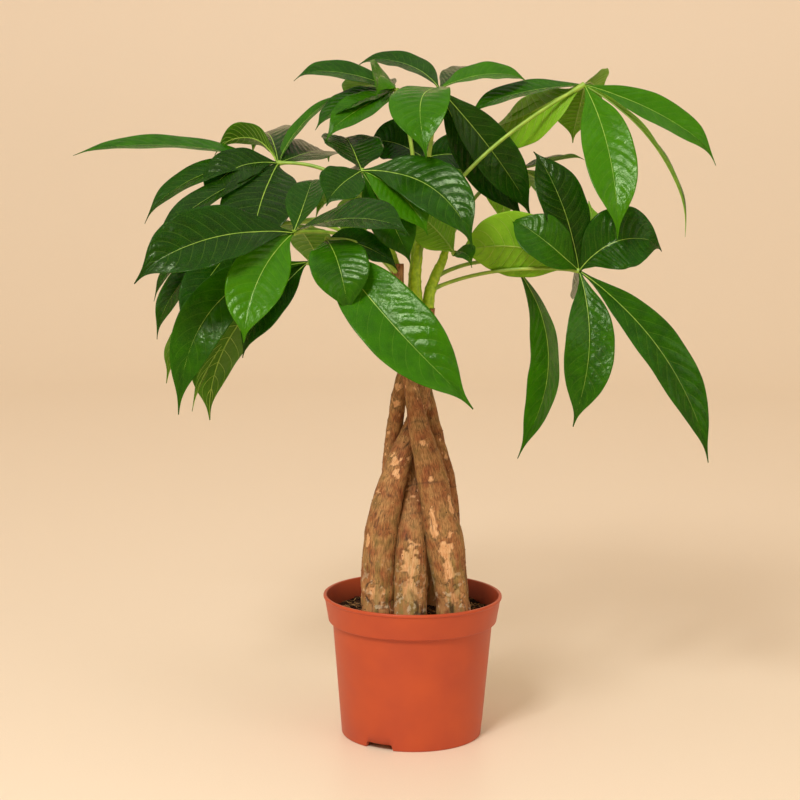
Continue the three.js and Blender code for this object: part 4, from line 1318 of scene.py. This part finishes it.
# %% Build the leaves
leaf_number = 0
blade_faces = 0
for name, leaf in LEAVES.items():
    parts = {"points": [], "faces": [], "uv": [], "flat": [], "looks": [], "age": []}
    wires = stalk_wires(leaf)
    first = 0
    for blade in leaf["blades"]:
        leaf_number += 1
        points, faces, uv, flat, looks = leaflet(leaf["hub"], blade, leaf_number)
        wires += vein_wires(leaf["hub"], blade, leaf_number)
        age = np.full((len(points), 1), blade[AGE])
        for key, values in zip(parts, (points, faces + first, uv, flat, looks, age)):
            parts[key].append(values)
        first += len(points)
    joined = {key: np.concatenate(values) for key, values in parts.items()}
    blades = mesh_piece(name + "_blades", joined["points"], joined["faces"], [blade_upper, blade_under],
                        uv=joined["uv"], face_material=joined["looks"],
                        attributes={"flat": joined["flat"], "age": joined["age"]})
    ribs = grown(name + "_ribs", wire_piece(name + "_lines", wires), rib_tree)
    for piece in (blades, ribs):
        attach(piece, "root")
        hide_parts(name)
    blade_faces += len(blades.data.polygons)
print("leaflets:", leaf_number, "blade faces:", blade_faces)

# %% [markdown]
# ## The floor
# The plant stands on plain pale paper that curves up all round it, so that no line shows where
# the floor ends. A little gloss in the paper gives the faint reflection under the pot.

# %% Floor
FLOOR_RADIUS = 2600
FLOOR_CURVE = 1400
FLOOR_TOP = 4200
paper, tree = empty_material("pale_studio_paper")
place = (node(tree, "ShaderNodeTexCoord"), "Object")
pulp = node(tree, "ShaderNodeTexNoise", Vector=place, Scale=1 / (1.5 * MM), Detail=2.0)
pale = node(tree, "ShaderNodeValToRGB", [(0.3, "#f1dfc6"), (0.7, "#f4e3ca")], Fac=pulp)
surface = node(tree, "ShaderNodeBsdfPrincipled", Base_Color=pale, Roughness=0.42)
node(tree, "ShaderNodeOutputMaterial", Surface=surface)
sweep = [(0.01, 0), (1500, 0), (FLOOR_RADIUS, 0)]
sweep += [(FLOOR_RADIUS + FLOOR_CURVE * math.sin(a), FLOOR_CURVE - FLOOR_CURVE * math.cos(a))
          for a in np.linspace(0, math.pi / 2, 24)]
sweep += [(FLOOR_RADIUS + FLOOR_CURVE, FLOOR_TOP)]
points, faces = turned(np.array(sweep), 96)
floor = mesh_piece("floor", points, faces[:, ::-1], [paper])
print("floor faces:", len(floor.data.polygons))

# %% [markdown]
# ## The lights
# A bright, even sky gives most of the light. A small lamp high in front on the left draws the glints
# on the leaves, a wide one further out on that side shapes the pot and the trunk, and a third fills
# in from the right. A fourth hangs high behind the plant and points at the backdrop, which would be
# dull without it. Sizes and places are in metres, and the sky is a little warm, like the paper.

# %% Lights
world = bpy.data.worlds.new("studio_air")
world.use_nodes = True
world.node_tree.nodes["Background"].inputs["Color"].default_value = linear("#fdf3e6")
world.node_tree.nodes["Background"].inputs["Strength"].default_value = 0.62
bpy.context.scene.world = world


def soft_light(name, place, aim, width, watts, spread=180):
    light = bpy.data.lights.new(name, "AREA")
    light.shape = "SQUARE"
    light.size = width
    light.energy = watts
    light.spread = math.radians(spread)
    lamp = bpy.data.objects.new(name, light)
    lamp.location = place
    lamp.rotation_euler = (Vector(place) - Vector(aim)).to_track_quat("Z", "Y").to_euler()
    bpy.context.collection.objects.link(lamp)


soft_light("glint_box", (-0.57, -1.5, 1.79), (0, -0.14, 0.42), 0.45, 27)
soft_light("left_box", (-1.9, -2.2, 2.6), (0, 0, 0.3), 1.4, 22)
soft_light("right_box", (2.3, -2.0, 2.0), (0, 0, 0.3), 1.6, 12)
soft_light("backdrop_box", (0, 0.4, 3.9), (0, 4, 1.2), 2.8, 18, 120)
bpy.context.scene.view_settings.view_transform = "Standard"
